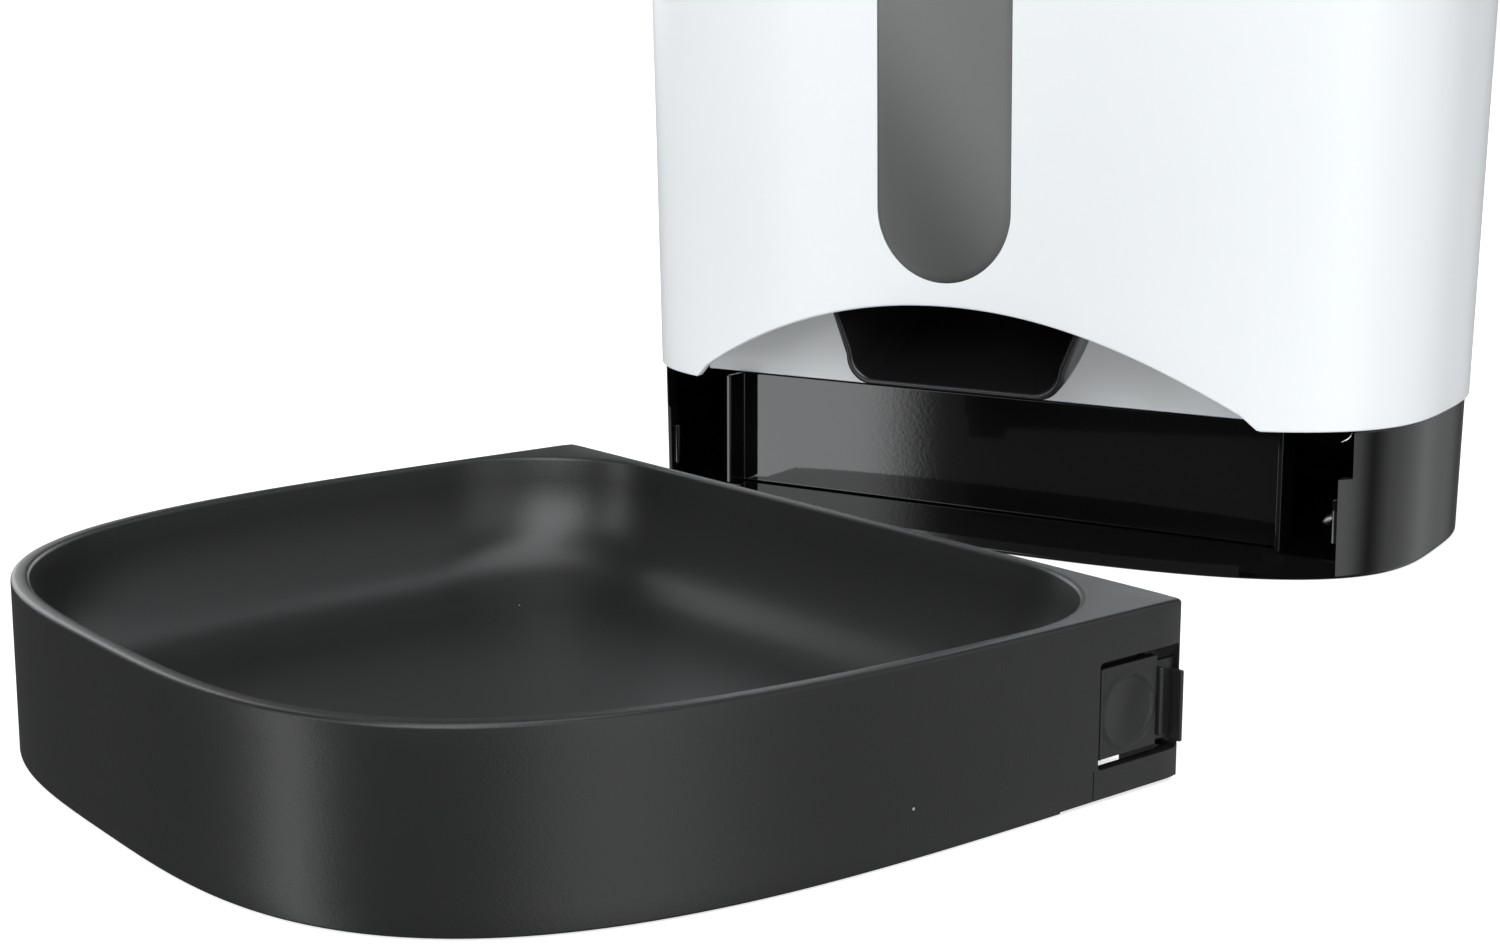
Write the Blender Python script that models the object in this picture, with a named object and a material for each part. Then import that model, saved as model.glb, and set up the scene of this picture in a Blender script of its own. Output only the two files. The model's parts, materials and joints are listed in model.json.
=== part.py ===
"""Automatic pet feeder: a white housing on a black base, with a detachable bowl in front.

Metres, +Z up. The origin is the centre of the base on the floor. The bowl side faces -Y.
"""
import math

import bmesh
import bpy
from mathutils import Matrix, Vector

# ---------------------------------------------------------------- driving dimensions
GAP = 0.0003                 # clearance between touching pieces
BASE_HALF_WIDTH = 0.1150     # the plan is a superellipse that grows with height
BASE_HALF_DEPTH = 0.0670
WIDTH_TAPER = 0.0169
DEPTH_TAPER = 0.0236
PLAN_POWER = 3.21
PLAN_POINTS = 64
BASE_INSET = 0.0010          # the base stands this far inside the housing's line
BASE_TOP = 0.0381
HOUSING_BOTTOM = 0.0384
HOUSING_TOP = 0.3350
LID_BOTTOM = 0.3354
LID_TOP = 0.3800
WALL = 0.0024
FLOOR_TOP = 0.0036

ARCH_TOP = 0.0653            # the arch over the bowl: z = top - drop * (x / 0.1) ** power
ARCH_DROP = 0.0370
ARCH_POWER = 2.055
ARCH_KINK_X = 0.0796
ARCH_END_X = 0.0840

WINDOW_HALF = 0.0194
WINDOW_LOW = 0.0911          # centres of the window's two round ends
WINDOW_HIGH = 0.2380

DOCK_WALL_Y = -0.0340        # front face of the wall behind the bowl
POST_X = 0.0840              # thin posts stand at the ends of that wall
POST_FRONT_Y = -0.0418
POST_WIDTH = 0.0015
SLOT_OUTER_X = 0.1038        # the base shell's front opening
CATCH_X = 0.1010             # the same opening below the catch height
CATCH_TOP = 0.0260
SLOT_FLOOR_TOP = 0.0005
CATCH_TIP_X = 0.0992         # tips of the bumps on the opening's sides, which the latch ribs snap behind
CATCH_FACE_Y = -0.0443       # their back faces
CATCH_DEPTH = 0.0012
CATCH_LOW = 0.0090
CATCH_HIGH = 0.0205
STRIP_HALF = 0.0800          # the raised strip of floor between the posts

CHUTE_PIVOT_Y = -0.0620
CHUTE_PIVOT_Z = 0.1080
ROTOR_Y = 0.0060
CUP_RADIUS = 0.0580
CUP_FLOOR = 0.1085
CUP_TOP = 0.1500
SHAFT_RADIUS = 0.0039
GEAR_MODULE = 0.0014
GEAR_TEETH = 28
PINION_TEETH = 14
PINION_Y = ROTOR_Y + GEAR_MODULE * (GEAR_TEETH + PINION_TEETH) / 2
GEAR_LOW = 0.0960
GEAR_HIGH = 0.1020

PANEL_HALF = 0.0240
PANEL_LOW = 0.2660
PANEL_HIGH = 0.3180
BUTTON_Z = 0.2765
BUTTON_RADIUS = 0.0042
BUTTON_XS = (-0.0165, -0.0055, 0.0055, 0.0165)

HINGE_Y = 0.0800
HINGE_Z = 0.3350
KNUCKLE_RADIUS = 0.0032
PIN_RADIUS = 0.0014

CELL_RADIUS = 0.0131
CELL_LENGTH = 0.0500
CELL_XS = (-0.0280, 0.0, 0.0280)
CELL_FRONT_Y = 0.0075
DOOR_HALF = 0.0440
DOOR_FRONT_Y = 0.0060

BOWL_AXIS_Y = -0.2630        # the bowl turns about this upright axis on its pad
BOWL_TURN = math.radians(-18.90)
BOWL_BACK = 0.0900           # the back edge is this far behind the axis
BOWL_HALF = 0.0988
BOWL_DEPTH = 0.1678
BOWL_POWER_ACROSS = 3.22
BOWL_POWER_AHEAD = 4.17
BOWL_HEIGHT = 0.0348
BOWL_BOTTOM = 0.0003
BOWL_BACK_BOTTOM = 0.0008    # the back of the bowl clears the thin floor of the base's side openings
BOWL_RAISED = 0.0320
BOWL_FLOOR = 0.0066
BASIN_CORNER = 0.0350
RIM_WIDTH = 0.0032
BOWL_POINTS = 80
LATCH_FRONT = 0.0222         # distances ahead of the bowl's back edge
LATCH_BACK = 0.0006
CATCH_RIB = 0.0009           # thickness of the rib that snaps behind the bump
LATCH_LOW = 0.0081
LATCH_HIGH = 0.0250

# ---------------------------------------------------------------- scene and helpers
for old in list(bpy.data.objects):
    bpy.data.objects.remove(old, do_unlink=True)

feeder = bpy.data.collections.new("pet_feeder")
cutters = bpy.data.collections.new("cutters")
bpy.context.scene.collection.children.link(feeder)
bpy.context.scene.collection.children.link(cutters)


def material(name, colour, roughness, metallic=0.0, alpha=1.0):
    mat = bpy.data.materials.new(name)
    mat.use_nodes = True
    shader = mat.node_tree.nodes["Principled BSDF"]
    shader.inputs["Base Color"].default_value = (*colour, 1.0)
    shader.inputs["Roughness"].default_value = roughness
    shader.inputs["Metallic"].default_value = metallic
    shader.inputs["Alpha"].default_value = alpha
    return mat


def add(name, bm, mat, smooth_angle=35, parent=None):
    """A named piece from a bmesh, with its own material."""
    bmesh.ops.recalc_face_normals(bm, faces=bm.faces)
    mesh = bpy.data.meshes.new(name)
    bm.to_mesh(mesh)
    bm.free()
    mesh.shade_smooth()
    mesh.set_sharp_from_angle(angle=math.radians(smooth_angle))
    obj = bpy.data.objects.new(name, mesh)
    feeder.objects.link(obj)
    own = material(name, *mat)
    mesh.materials.append(own)
    if parent is not None:
        obj.parent = parent
    return obj


def tool(bm, parent=None):
    """A hidden operand for a Boolean."""
    bmesh.ops.recalc_face_normals(bm, faces=bm.faces)
    mesh = bpy.data.meshes.new("cutter")
    bm.to_mesh(mesh)
    bm.free()
    obj = bpy.data.objects.new("cutter", mesh)
    obj.hide_render = True
    obj.display_type = "WIRE"
    cutters.objects.link(obj)
    if parent is not None:
        obj.parent = parent
    return obj


def boolean(obj, operation, *operands):
    for operand in operands:
        mod = obj.modifiers.new(operation.lower(), "BOOLEAN")
        mod.operation = operation
        mod.solver = "EXACT"
        mod.object = operand
    return obj


def cut(obj, *shapes):
    return boolean(obj, "DIFFERENCE", *[tool(bm, obj.parent) for bm in shapes])


def fuse(obj, *shapes):
    return boolean(obj, "UNION", *[tool(bm, obj.parent) for bm in shapes])


def box(low, high):
    bm = bmesh.new()
    bmesh.ops.create_cube(bm, size=1.0)
    low, high = Vector(low), Vector(high)
    size = high - low
    bmesh.ops.scale(bm, vec=size, verts=bm.verts)
    bmesh.ops.translate(bm, vec=(low + high) / 2, verts=bm.verts)
    return bm


def rounded_box(low, high, radius, segments=2):
    bm = box(low, high)
    bmesh.ops.bevel(bm, geom=bm.edges[:], offset=radius, segments=segments, affect="EDGES", profile=0.5)
    return bm


def rod(radius, start, end, sides=32, top_radius=None):
    """A cylinder, or a cone frustum, between two points."""
    bm = bmesh.new()
    start, end = Vector(start), Vector(end)
    axis = end - start
    last = radius if top_radius is None else top_radius
    bmesh.ops.create_cone(bm, cap_ends=True, segments=sides, radius1=radius, radius2=last, depth=axis.length)
    turn = Vector((0, 0, 1)).rotation_difference(axis.normalized()).to_matrix().to_4x4()
    bmesh.ops.transform(bm, matrix=Matrix.Translation((start + end) / 2) @ turn, verts=bm.verts)
    return bm


def loft(rings, closed=False):
    """Skin between rings of equal length: capped at both ends, or closed round on itself."""
    bm = bmesh.new()
    rows = [[bm.verts.new(point) for point in ring] for ring in rings]
    pairs = list(zip(rows, rows[1:]))
    if closed:
        pairs.append((rows[-1], rows[0]))
    for low, high in pairs:
        count = len(low)
        for i in range(count):
            j = (i + 1) % count
            bm.faces.new((low[i], low[j], high[j], high[i]))
    if not closed:
        bm.faces.new(list(reversed(rows[0])))
        bm.faces.new(rows[-1])
    return bm


def prism(outline, low, high, axis="Z"):
    """A flat outline extruded along Z, or along Y when its points are (x, z)."""
    if axis == "Z":
        return loft([[(x, y, low) for x, y in outline], [(x, y, high) for x, y in outline]])
    return loft([[(x, low, z) for x, z in outline], [(x, high, z) for x, z in outline]])


def plan(z, inset=0.0, points=PLAN_POINTS):
    """The body's outline at height z, as points round a superellipse."""
    half_x = BASE_HALF_WIDTH + WIDTH_TAPER * z - inset
    half_y = BASE_HALF_DEPTH + DEPTH_TAPER * z - inset
    ring = []
    for i in range(points):
        angle = 2 * math.pi * i / points
        c, s = math.cos(angle), math.sin(angle)
        x = half_x * math.copysign(abs(c) ** (2 / PLAN_POWER), c)
        y = half_y * math.copysign(abs(s) ** (2 / PLAN_POWER), s)
        ring.append((x, y, z))
    return ring


def front_y(x, z):
    """Depth of the body's front surface at (x, z)."""
    half_x = BASE_HALF_WIDTH + WIDTH_TAPER * z
    half_y = BASE_HALF_DEPTH + DEPTH_TAPER * z
    return -half_y * (1 - abs(x / half_x) ** PLAN_POWER) ** (1 / PLAN_POWER)


def stadium(half, low, high, segments=12):
    """An upright slot with round ends, as (x, z) points."""
    top = [math.pi * i / segments for i in range(segments + 1)]
    points = [(half * math.cos(a), high + half * math.sin(a)) for a in top]
    points += [(-half * math.cos(a), low - half * math.sin(a)) for a in top]
    return points


def rounded_rect(half, low, high, radius, segments=4):
    points = []
    corners = ((half, high, 0), (-half, high, 90), (-half, low, 180), (half, low, 270))
    for x, z, start in corners:
        cx = x - math.copysign(radius, x)
        cz = z - radius if z == high else z + radius
        for i in range(segments + 1):
            a = math.radians(start + 90 * i / segments)
            points.append((cx + radius * math.cos(a), cz + radius * math.sin(a)))
    return points


def front_patch(outline, proud, depth):
    """A plate that follows the body's front surface."""
    outer = [(x, front_y(x, z) - proud, z) for x, z in outline]
    inner = [(x, front_y(x, z) + depth, z) for x, z in outline]
    return loft([outer, inner])


def arc(radius, start, end, segments, centre=(0.0, 0.0)):
    turns = [start + (end - start) * i / segments for i in range(segments + 1)]
    return [(centre[0] + radius * math.cos(t), centre[1] + radius * math.sin(t)) for t in turns]


WHITE = ((0.83, 0.85, 0.86), 0.32)
BLACK_GLOSS = ((0.012, 0.012, 0.013), 0.10)
BLACK_SATIN = ((0.022, 0.022, 0.022), 0.38)
SMOKE = ((0.10, 0.10, 0.10), 0.25, 0.0, 0.9)
CLEAR = ((0.75, 0.78, 0.80), 0.15, 0.0, 0.5)
STEEL = ((0.62, 0.62, 0.62), 0.25, 1.0)
RUBBER = ((0.05, 0.05, 0.05), 0.8)
GREEN = ((0.02, 0.16, 0.07), 0.5)
ACETAL = ((0.80, 0.78, 0.72), 0.4)
GREY = ((0.30, 0.31, 0.32), 0.45)


# ---------------------------------------------------------------- base
def make_base():
    outer_low, outer_high = plan(0.0, BASE_INSET), plan(BASE_TOP, BASE_INSET)
    inner_high = plan(BASE_TOP, BASE_INSET + WALL)
    inner_low = [(x, y, FLOOR_TOP) for x, y, z in plan(0.0, BASE_INSET + WALL)]
    base = add("base_shell", loft([outer_low, outer_high, inner_high, inner_low]), BLACK_GLOSS)
    front = -0.1000
    openings = [
        box((-SLOT_OUTER_X, front, CATCH_TOP), (SLOT_OUTER_X, -0.0300, 0.0500)),
        box((-CATCH_X, front, FLOOR_TOP), (CATCH_X, -0.0300, 0.0300)),
        box((-CATCH_X, front, SLOT_FLOOR_TOP), (-STRIP_HALF, -0.0410, 0.0100)),
        box((STRIP_HALF, front, SLOT_FLOOR_TOP), (CATCH_X, -0.0410, 0.0100)),
    ]
    door_way = box((-DOOR_HALF - GAP, DOOR_FRONT_Y - GAP, -0.0100), (DOOR_HALF + GAP, 0.1000, FLOOR_TOP + GAP))
    socket_way = rod(0.0048, (0.0680, 0.0400, 0.0200), (0.0680, 0.0900, 0.0200), 24)
    feet = [rod(0.0083, (x, y, -0.0100), (x, y, 0.0024), 24) for x, y in FOOT_PLACES]
    cut(base, *openings, door_way, socket_way, *feet)
    for side in (-1, 1):
        low_x, high_x = sorted((side * CATCH_TIP_X, side * (CATCH_X + CATCH_DEPTH)))
        fuse(base, box((low_x, CATCH_FACE_Y - CATCH_DEPTH, CATCH_LOW), (high_x, CATCH_FACE_Y, CATCH_HIGH)))
    return base


FOOT_PLACES = [(x, y) for x in (-0.0850, 0.0850) for y in (-0.0280, 0.0380)]


def make_feet():
    for number, (x, y) in enumerate(FOOT_PLACES, 1):
        add(f"foot_{number}", rod(0.0080, (x, y, 0.0), (x, y, 0.0021), 24), RUBBER)


def make_dock_panel():
    """The glossy wall behind the bowl, with a post at each end, in one U-shaped moulding."""
    x, t = POST_X, POST_WIDTH
    outline = [(-x - t / 2, POST_FRONT_Y), (-x + t / 2, POST_FRONT_Y), (-x + t / 2, DOCK_WALL_Y),
               (x - t / 2, DOCK_WALL_Y), (x - t / 2, POST_FRONT_Y), (x + t / 2, POST_FRONT_Y),
               (x + t / 2, DOCK_WALL_Y + 0.0020), (-x - t / 2, DOCK_WALL_Y + 0.0020)]
    add("dock_panel", prism(outline, FLOOR_TOP + GAP, 0.0364), BLACK_GLOSS)


def make_battery_bay():
    low_y, high_y = 0.0, 0.0615
    bay = add("battery_box", box((-0.0465, low_y, FLOOR_TOP + GAP), (0.0465, high_y, 0.0340)), GREY)
    cut(bay, box((-0.0440, low_y + 0.0020, -0.0100), (0.0440, high_y - 0.0015, 0.0320)))
    for number, x in enumerate(CELL_XS, 1):
        centre_z = 0.0030 + CELL_RADIUS
        start = (x, CELL_FRONT_Y, centre_z)
        end = (x, CELL_FRONT_Y + CELL_LENGTH - 0.0020, centre_z)
        cell = add(f"battery_{number}", rod(CELL_RADIUS, start, end, 24), ((0.25, 0.20, 0.12), 0.3, 0.6))
        fuse(cell, rod(0.0030, (x, end[1] - 0.0005, centre_z), (x, end[1] + 0.0018, centre_z), 16))
    add("contact_front", box((-0.0430, 0.0025, 0.0060), (0.0430, 0.0032, 0.0270)), STEEL)
    springs = bpy.data.objects["contact_front"]
    for x in CELL_XS:
        fuse(springs, rod(0.0060, (x, 0.0030, 0.0159), (x, 0.0071, 0.0159), 16, 0.0040))
    add("contact_rear", box((-0.0430, 0.0580, 0.0060), (0.0430, 0.0587, 0.0270)), STEEL)
    door = add("battery_door", box((-DOOR_HALF, DOOR_FRONT_Y, 0.0004), (DOOR_HALF, 0.0635, 0.0024)), BLACK_GLOSS)
    for i in range(5):
        y = 0.0440 + 0.0030 * i
        cut(door, box((-0.0120, y, -0.0010), (0.0120, y + 0.0012, 0.0010)))


def make_power_socket():
    socket = add("power_socket", rod(0.0045, (0.0680, 0.0470, 0.0200), (0.0680, 0.0600, 0.0200), 24), RUBBER)
    cut(socket, rod(0.0028, (0.0680, 0.0500, 0.0200), (0.0680, 0.0700, 0.0200), 24))
    fuse(socket, rod(0.0010, (0.0680, 0.0480, 0.0200), (0.0680, 0.0590, 0.0200), 12))


# ---------------------------------------------------------------- housing
def arch_outline():
    steps = 12
    xs = [-ARCH_KINK_X + 2 * ARCH_KINK_X * i / (2 * steps) for i in range(2 * steps + 1)]
    curve = [(x, ARCH_TOP - ARCH_DROP * (abs(x) / 0.1) ** ARCH_POWER) for x in xs]
    foot_x = ARCH_END_X + 0.0060
    return [(-foot_x, HOUSING_BOTTOM - 0.0060), *curve, (foot_x, HOUSING_BOTTOM - 0.0060)]


def make_housing():
    rings = [plan(HOUSING_BOTTOM), plan(HOUSING_TOP), plan(HOUSING_TOP, WALL), plan(HOUSING_BOTTOM, WALL)]
    housing = add("housing", loft(rings, closed=True), WHITE)
    window = prism(stadium(WINDOW_HALF + GAP, WINDOW_LOW, WINDOW_HIGH), -0.1000, -0.0500, "Y")
    panel = prism(rounded_rect(PANEL_HALF + GAP, PANEL_LOW - GAP, PANEL_HIGH + GAP, 0.0060), -0.1000, -0.0500, "Y")
    cut(housing, prism(arch_outline(), -0.1000, -0.0300, "Y"), window, panel)
    grille = [box((0.0560 + 0.0050 * i, 0.0400, 0.0800), (0.0580 + 0.0050 * i, 0.0900, 0.1000)) for i in range(5)]
    cut(housing, *grille)
    for side in (-1, 1):
        low, high = sorted((side * 0.0190, side * 0.0320))
        arm = box((low + 0.0007, HINGE_Y - 0.0065, HINGE_Z - 0.0075), (high - 0.0007, HINGE_Y - 0.0006, HINGE_Z - 0.0007))
        fuse(housing, arm, rod(KNUCKLE_RADIUS, (low, HINGE_Y, HINGE_Z), (high, HINGE_Y, HINGE_Z), 20))
    cut(housing, rod(PIN_RADIUS + GAP, (-0.0500, HINGE_Y, HINGE_Z), (0.0500, HINGE_Y, HINGE_Z), 16))
    add("hinge_pin", rod(PIN_RADIUS, (-0.0325, HINGE_Y, HINGE_Z), (0.0325, HINGE_Y, HINGE_Z), 16), STEEL)


def make_window():
    add("window", front_patch(stadium(WINDOW_HALF, WINDOW_LOW, WINDOW_HIGH), -0.0002, 0.0022), SMOKE)


def chute_section(step, grow):
    """One closed cross-section of the chute, turned from level at the top to upright at the mouth."""
    near = 0.0300 + (0.0130 - 0.0300) * step
    far = 0.0663 + (0.0425 - 0.0663) * step
    wide = 0.0436 + (0.0255 - 0.0436) * step + grow
    narrow = 0.0324 + (0.0255 - 0.0324) * step + grow
    corner = 0.0075 + (0.0040 - 0.0075) * step
    near -= grow
    far += grow
    flat = [(x, near) for x in (wide, 0.0, -wide)]
    flat += [(-narrow + corner - corner * math.cos(a), far - corner + corner * math.sin(a))
             for a in (0.0, math.pi / 8, math.pi / 4, math.pi * 3 / 8, math.pi / 2)]
    flat += [(narrow - corner + corner * math.cos(a), far - corner + corner * math.sin(a))
             for a in (math.pi / 2, math.pi * 3 / 8, math.pi / 4, math.pi / 8, 0.0)]
    turn = math.pi / 2 * step
    return [(x, CHUTE_PIVOT_Y + r * math.sin(turn), CHUTE_PIVOT_Z - r * math.cos(turn)) for x, r in flat]


def make_chute():
    steps = [i / 6 for i in range(7)]
    outside = [chute_section(s, 0.0) for s in steps]
    inside = [chute_section(s, -0.0016) for s in reversed(steps)]
    add("outlet_chute", loft(outside + inside, closed=True), BLACK_SATIN)
    plate = box((-0.0955, DOCK_WALL_Y, 0.0367), (0.0955, DOCK_WALL_Y + 0.0020, 0.1040))
    panel = add("outlet_panel", plate, WHITE)
    cut(panel, loft([chute_section(s, 0.0012) for s in steps]))


# ---------------------------------------------------------------- dispensing mechanism
def make_cup():
    rings = [
        rod_ring(CUP_RADIUS, CUP_FLOOR), rod_ring(CUP_RADIUS, CUP_TOP),
        rod_ring(CUP_RADIUS - 0.0022, CUP_TOP), rod_ring(CUP_RADIUS - 0.0022, CUP_FLOOR + 0.0025),
    ]
    cup = add("rotor_cup", loft(rings), WHITE)
    exit_hole = box((-0.0220, -0.0430, 0.0900), (0.0220, -0.0200, 0.1200))
    cut(cup, exit_hole, rod(SHAFT_RADIUS + GAP, (0, ROTOR_Y, 0.0900), (0, ROTOR_Y, 0.1300), 24))


def rod_ring(radius, z, points=48):
    angles = [2 * math.pi * i / points for i in range(points)]
    return [(radius * math.cos(a), ROTOR_Y + radius * math.sin(a), z) for a in angles]


def make_rotor():
    vanes, tip, hub, half = 6, 0.0535, 0.0110, 0.0012
    outline = []
    for i in range(vanes):
        a = 2 * math.pi * i / vanes
        across, along = Vector((-math.sin(a), math.cos(a))), Vector((math.cos(a), math.sin(a)))
        for reach, side in ((hub, -1), (tip, -1), (tip, 1), (hub, 1)):
            point = along * reach + across * half * side
            outline.append((point.x, ROTOR_Y + point.y))
    rotor = add("rotor", prism(outline, CUP_FLOOR + 0.0030, CUP_TOP - 0.0040), ((0.20, 0.20, 0.21), 0.4))
    fuse(rotor, rod(0.0130, (0, ROTOR_Y, CUP_FLOOR + 0.0030), (0, ROTOR_Y, CUP_TOP - 0.0030), 24))
    cut(rotor, rod(SHAFT_RADIUS + GAP, (0, ROTOR_Y, 0.0900), (0, ROTOR_Y, 0.1440), 24))
    add("rotor_shaft", rod(SHAFT_RADIUS, (0, ROTOR_Y, 0.0880), (0, ROTOR_Y, 0.1436), 20), STEEL)


def gear_outline(teeth, offset, centre_y, phase):
    """Involute teeth at a pressure angle of 20 degrees, thinned by offset for backlash."""
    pitch = GEAR_MODULE * teeth / 2
    base_r = pitch * math.cos(math.radians(20))
    root, tip = pitch - 1.25 * GEAR_MODULE, pitch + 0.95 * GEAR_MODULE

    def involute(radius):
        t = math.sqrt(max(radius ** 2 / base_r ** 2 - 1, 0))
        return t - math.atan(t)

    half_tooth = math.pi / (2 * teeth) - offset / pitch
    radii = [max(base_r, root) + (tip - max(base_r, root)) * i / 3 for i in range(4)]
    flank = [(r, half_tooth + involute(pitch) - involute(r)) for r in radii]
    if root < base_r:
        flank.insert(0, (root, flank[0][1]))
    points = []
    for i in range(teeth):
        middle = phase + 2 * math.pi * i / teeth
        side = [(r, middle - a) for r, a in flank] + [(r, middle + a) for r, a in reversed(flank)]
        points += [(r * math.cos(a), centre_y + r * math.sin(a)) for r, a in side]
    return points


def make_gears():
    toothed = gear_outline(GEAR_TEETH, 0.00012, ROTOR_Y, math.pi / 2)
    gear = add("drive_gear", prism(toothed, GEAR_LOW, GEAR_HIGH), ACETAL)
    cut(gear, rod(SHAFT_RADIUS + GAP, (0, ROTOR_Y, 0.0900), (0, ROTOR_Y, 0.1200), 20))
    gap_phase = -math.pi / 2 + math.pi / PINION_TEETH
    pinion = add("pinion", prism(gear_outline(PINION_TEETH, 0.00012, PINION_Y, gap_phase), GEAR_LOW, GEAR_HIGH), ACETAL)
    cut(pinion, rod(0.0023, (0, PINION_Y, 0.0900), (0, PINION_Y, 0.1200), 16))
    add("output_shaft", rod(0.0020, (0, PINION_Y, 0.0945), (0, PINION_Y, 0.1026), 16), STEEL)
    lobes = []
    for i in range(36):
        a = 2 * math.pi * i / 36
        r = 0.0120 + 0.0012 * math.cos(6 * a)
        lobes.append((r * math.cos(a), ROTOR_Y + r * math.sin(a)))
    cam = add("index_cam", prism(lobes, 0.0900, 0.0945), ACETAL)
    cut(cam, rod(SHAFT_RADIUS + GAP, (0, ROTOR_Y, 0.0800), (0, ROTOR_Y, 0.1200), 20))
    switch = add("microswitch", box((0.0200, -0.0040, 0.0890), (0.0400, 0.0060, 0.0950)), BLACK_SATIN)
    fuse(switch, box((0.0145, -0.0030, 0.0915), (0.0205, -0.0010, 0.0935)))


def make_motor():
    box_low, box_high = (-0.0230, PINION_Y - 0.0150, 0.0760), (0.0230, PINION_Y + 0.0240, 0.0940)
    add("gearbox", rounded_box(box_low, box_high, 0.0015, 1), GREY)
    motor = add("motor", rod(0.0165, (0, PINION_Y, 0.0400), (0, PINION_Y, 0.0756), 28), STEEL)
    fuse(motor, rod(0.0060, (0, PINION_Y, 0.0390), (0, PINION_Y, 0.0402), 16))
    deck = add("mechanism_deck", box((-0.0560, -0.0140, 0.1035), (0.0560, 0.0600, 0.1060)), GREY)
    cut(deck, rod(0.0060, (0, ROTOR_Y, 0.0900), (0, ROTOR_Y, 0.1200), 20))
    add("shaft_bush", rod(0.0056, (0, ROTOR_Y, 0.1037), (0, ROTOR_Y, 0.1076), 20), STEEL)
    cut(bpy.data.objects["shaft_bush"], rod(SHAFT_RADIUS + GAP, (0, ROTOR_Y, 0.1000), (0, ROTOR_Y, 0.1200), 20))


def make_hopper():
    top, waist, neck = 0.3310, 0.2050, CUP_TOP + GAP
    throat = CUP_RADIUS

    def ring(z, inset):
        return plan(z, 0.0140 + inset)

    def round_ring(z, radius):
        points = []
        for i in range(PLAN_POINTS):
            a = 2 * math.pi * i / PLAN_POINTS
            points.append((radius * math.cos(a), ROTOR_Y + radius * math.sin(a), z))
        return points

    outside = [round_ring(neck, throat), ring(waist, 0.0), ring(top, 0.0)]
    inside = [ring(top, 0.0020), ring(waist, 0.0020), round_ring(neck, throat - 0.0030)]
    add("hopper", loft(outside + inside, closed=True), CLEAR)
    sector = [(0.0, ROTOR_Y)] + arc(0.0550, math.radians(-135), math.radians(-45), 10, (0.0, ROTOR_Y))
    add("portion_guard", prism(sector, CUP_TOP - 0.0024, CUP_TOP - 0.0008), RUBBER)


def make_electronics():
    board = add("main_board", box((-0.0880, 0.0480, 0.0450), (-0.0300, 0.0496, 0.1000)), GREEN)
    fuse(board, box((-0.0700, 0.0420, 0.0600), (-0.0560, 0.0485, 0.0740)),
         box((-0.0500, 0.0400, 0.0800), (-0.0360, 0.0485, 0.0940)),
         rod(0.0050, (-0.0780, 0.0485, 0.0880), (-0.0780, 0.0380, 0.0880), 16))
    speaker = add("speaker", rod(0.0160, (0.0670, 0.0460, 0.0900), (0.0670, 0.0500, 0.0900), 28), BLACK_SATIN)
    fuse(speaker, rod(0.0090, (0.0670, 0.0400, 0.0900), (0.0670, 0.0465, 0.0900), 20))
    add("ir_emitter", rod(0.0025, (-0.0480, -0.0520, 0.0700), (-0.0452, -0.0520, 0.0700), 16), SMOKE)
    add("ir_receiver", rod(0.0025, (0.0452, -0.0520, 0.0700), (0.0480, -0.0520, 0.0700), 16), SMOKE)


# ---------------------------------------------------------------- control panel
def make_controls():
    outline = rounded_rect(PANEL_HALF, PANEL_LOW, PANEL_HIGH, 0.0060)
    panel = add("control_panel", front_patch(outline, 0.0, 0.0022), BLACK_GLOSS)
    holes = [rod(BUTTON_RADIUS + GAP, (x, -0.1000, BUTTON_Z), (x, -0.0500, BUTTON_Z), 24) for x in BUTTON_XS]
    lens_outline = rounded_rect(0.0180, 0.2890, 0.3120, 0.0030)
    lens_hole = prism(rounded_rect(0.0180 + GAP, 0.2890 - GAP, 0.3120 + GAP, 0.0030), -0.1000, -0.0500, "Y")
    cut(panel, *holes, lens_hole)
    add("display_lens", front_patch(lens_outline, -0.0002, 0.0014), SMOKE)
    add("display_board", box((-0.0230, -0.0655, 0.2680), (0.0230, -0.0641, 0.3160)), GREEN)
    for name, x in zip(("button_set", "button_down", "button_up", "button_feed"), BUTTON_XS):
        face = front_y(x, BUTTON_Z)
        axis = bpy.data.objects.new(f"{name}_axis", None)
        axis.location = (x, face, BUTTON_Z)
        feeder.objects.link(axis)
        cap = rod(BUTTON_RADIUS, (0, -0.0008, 0), (0, 0.0060, 0), 24)
        add(name, cap, GREY, parent=axis)


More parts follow.
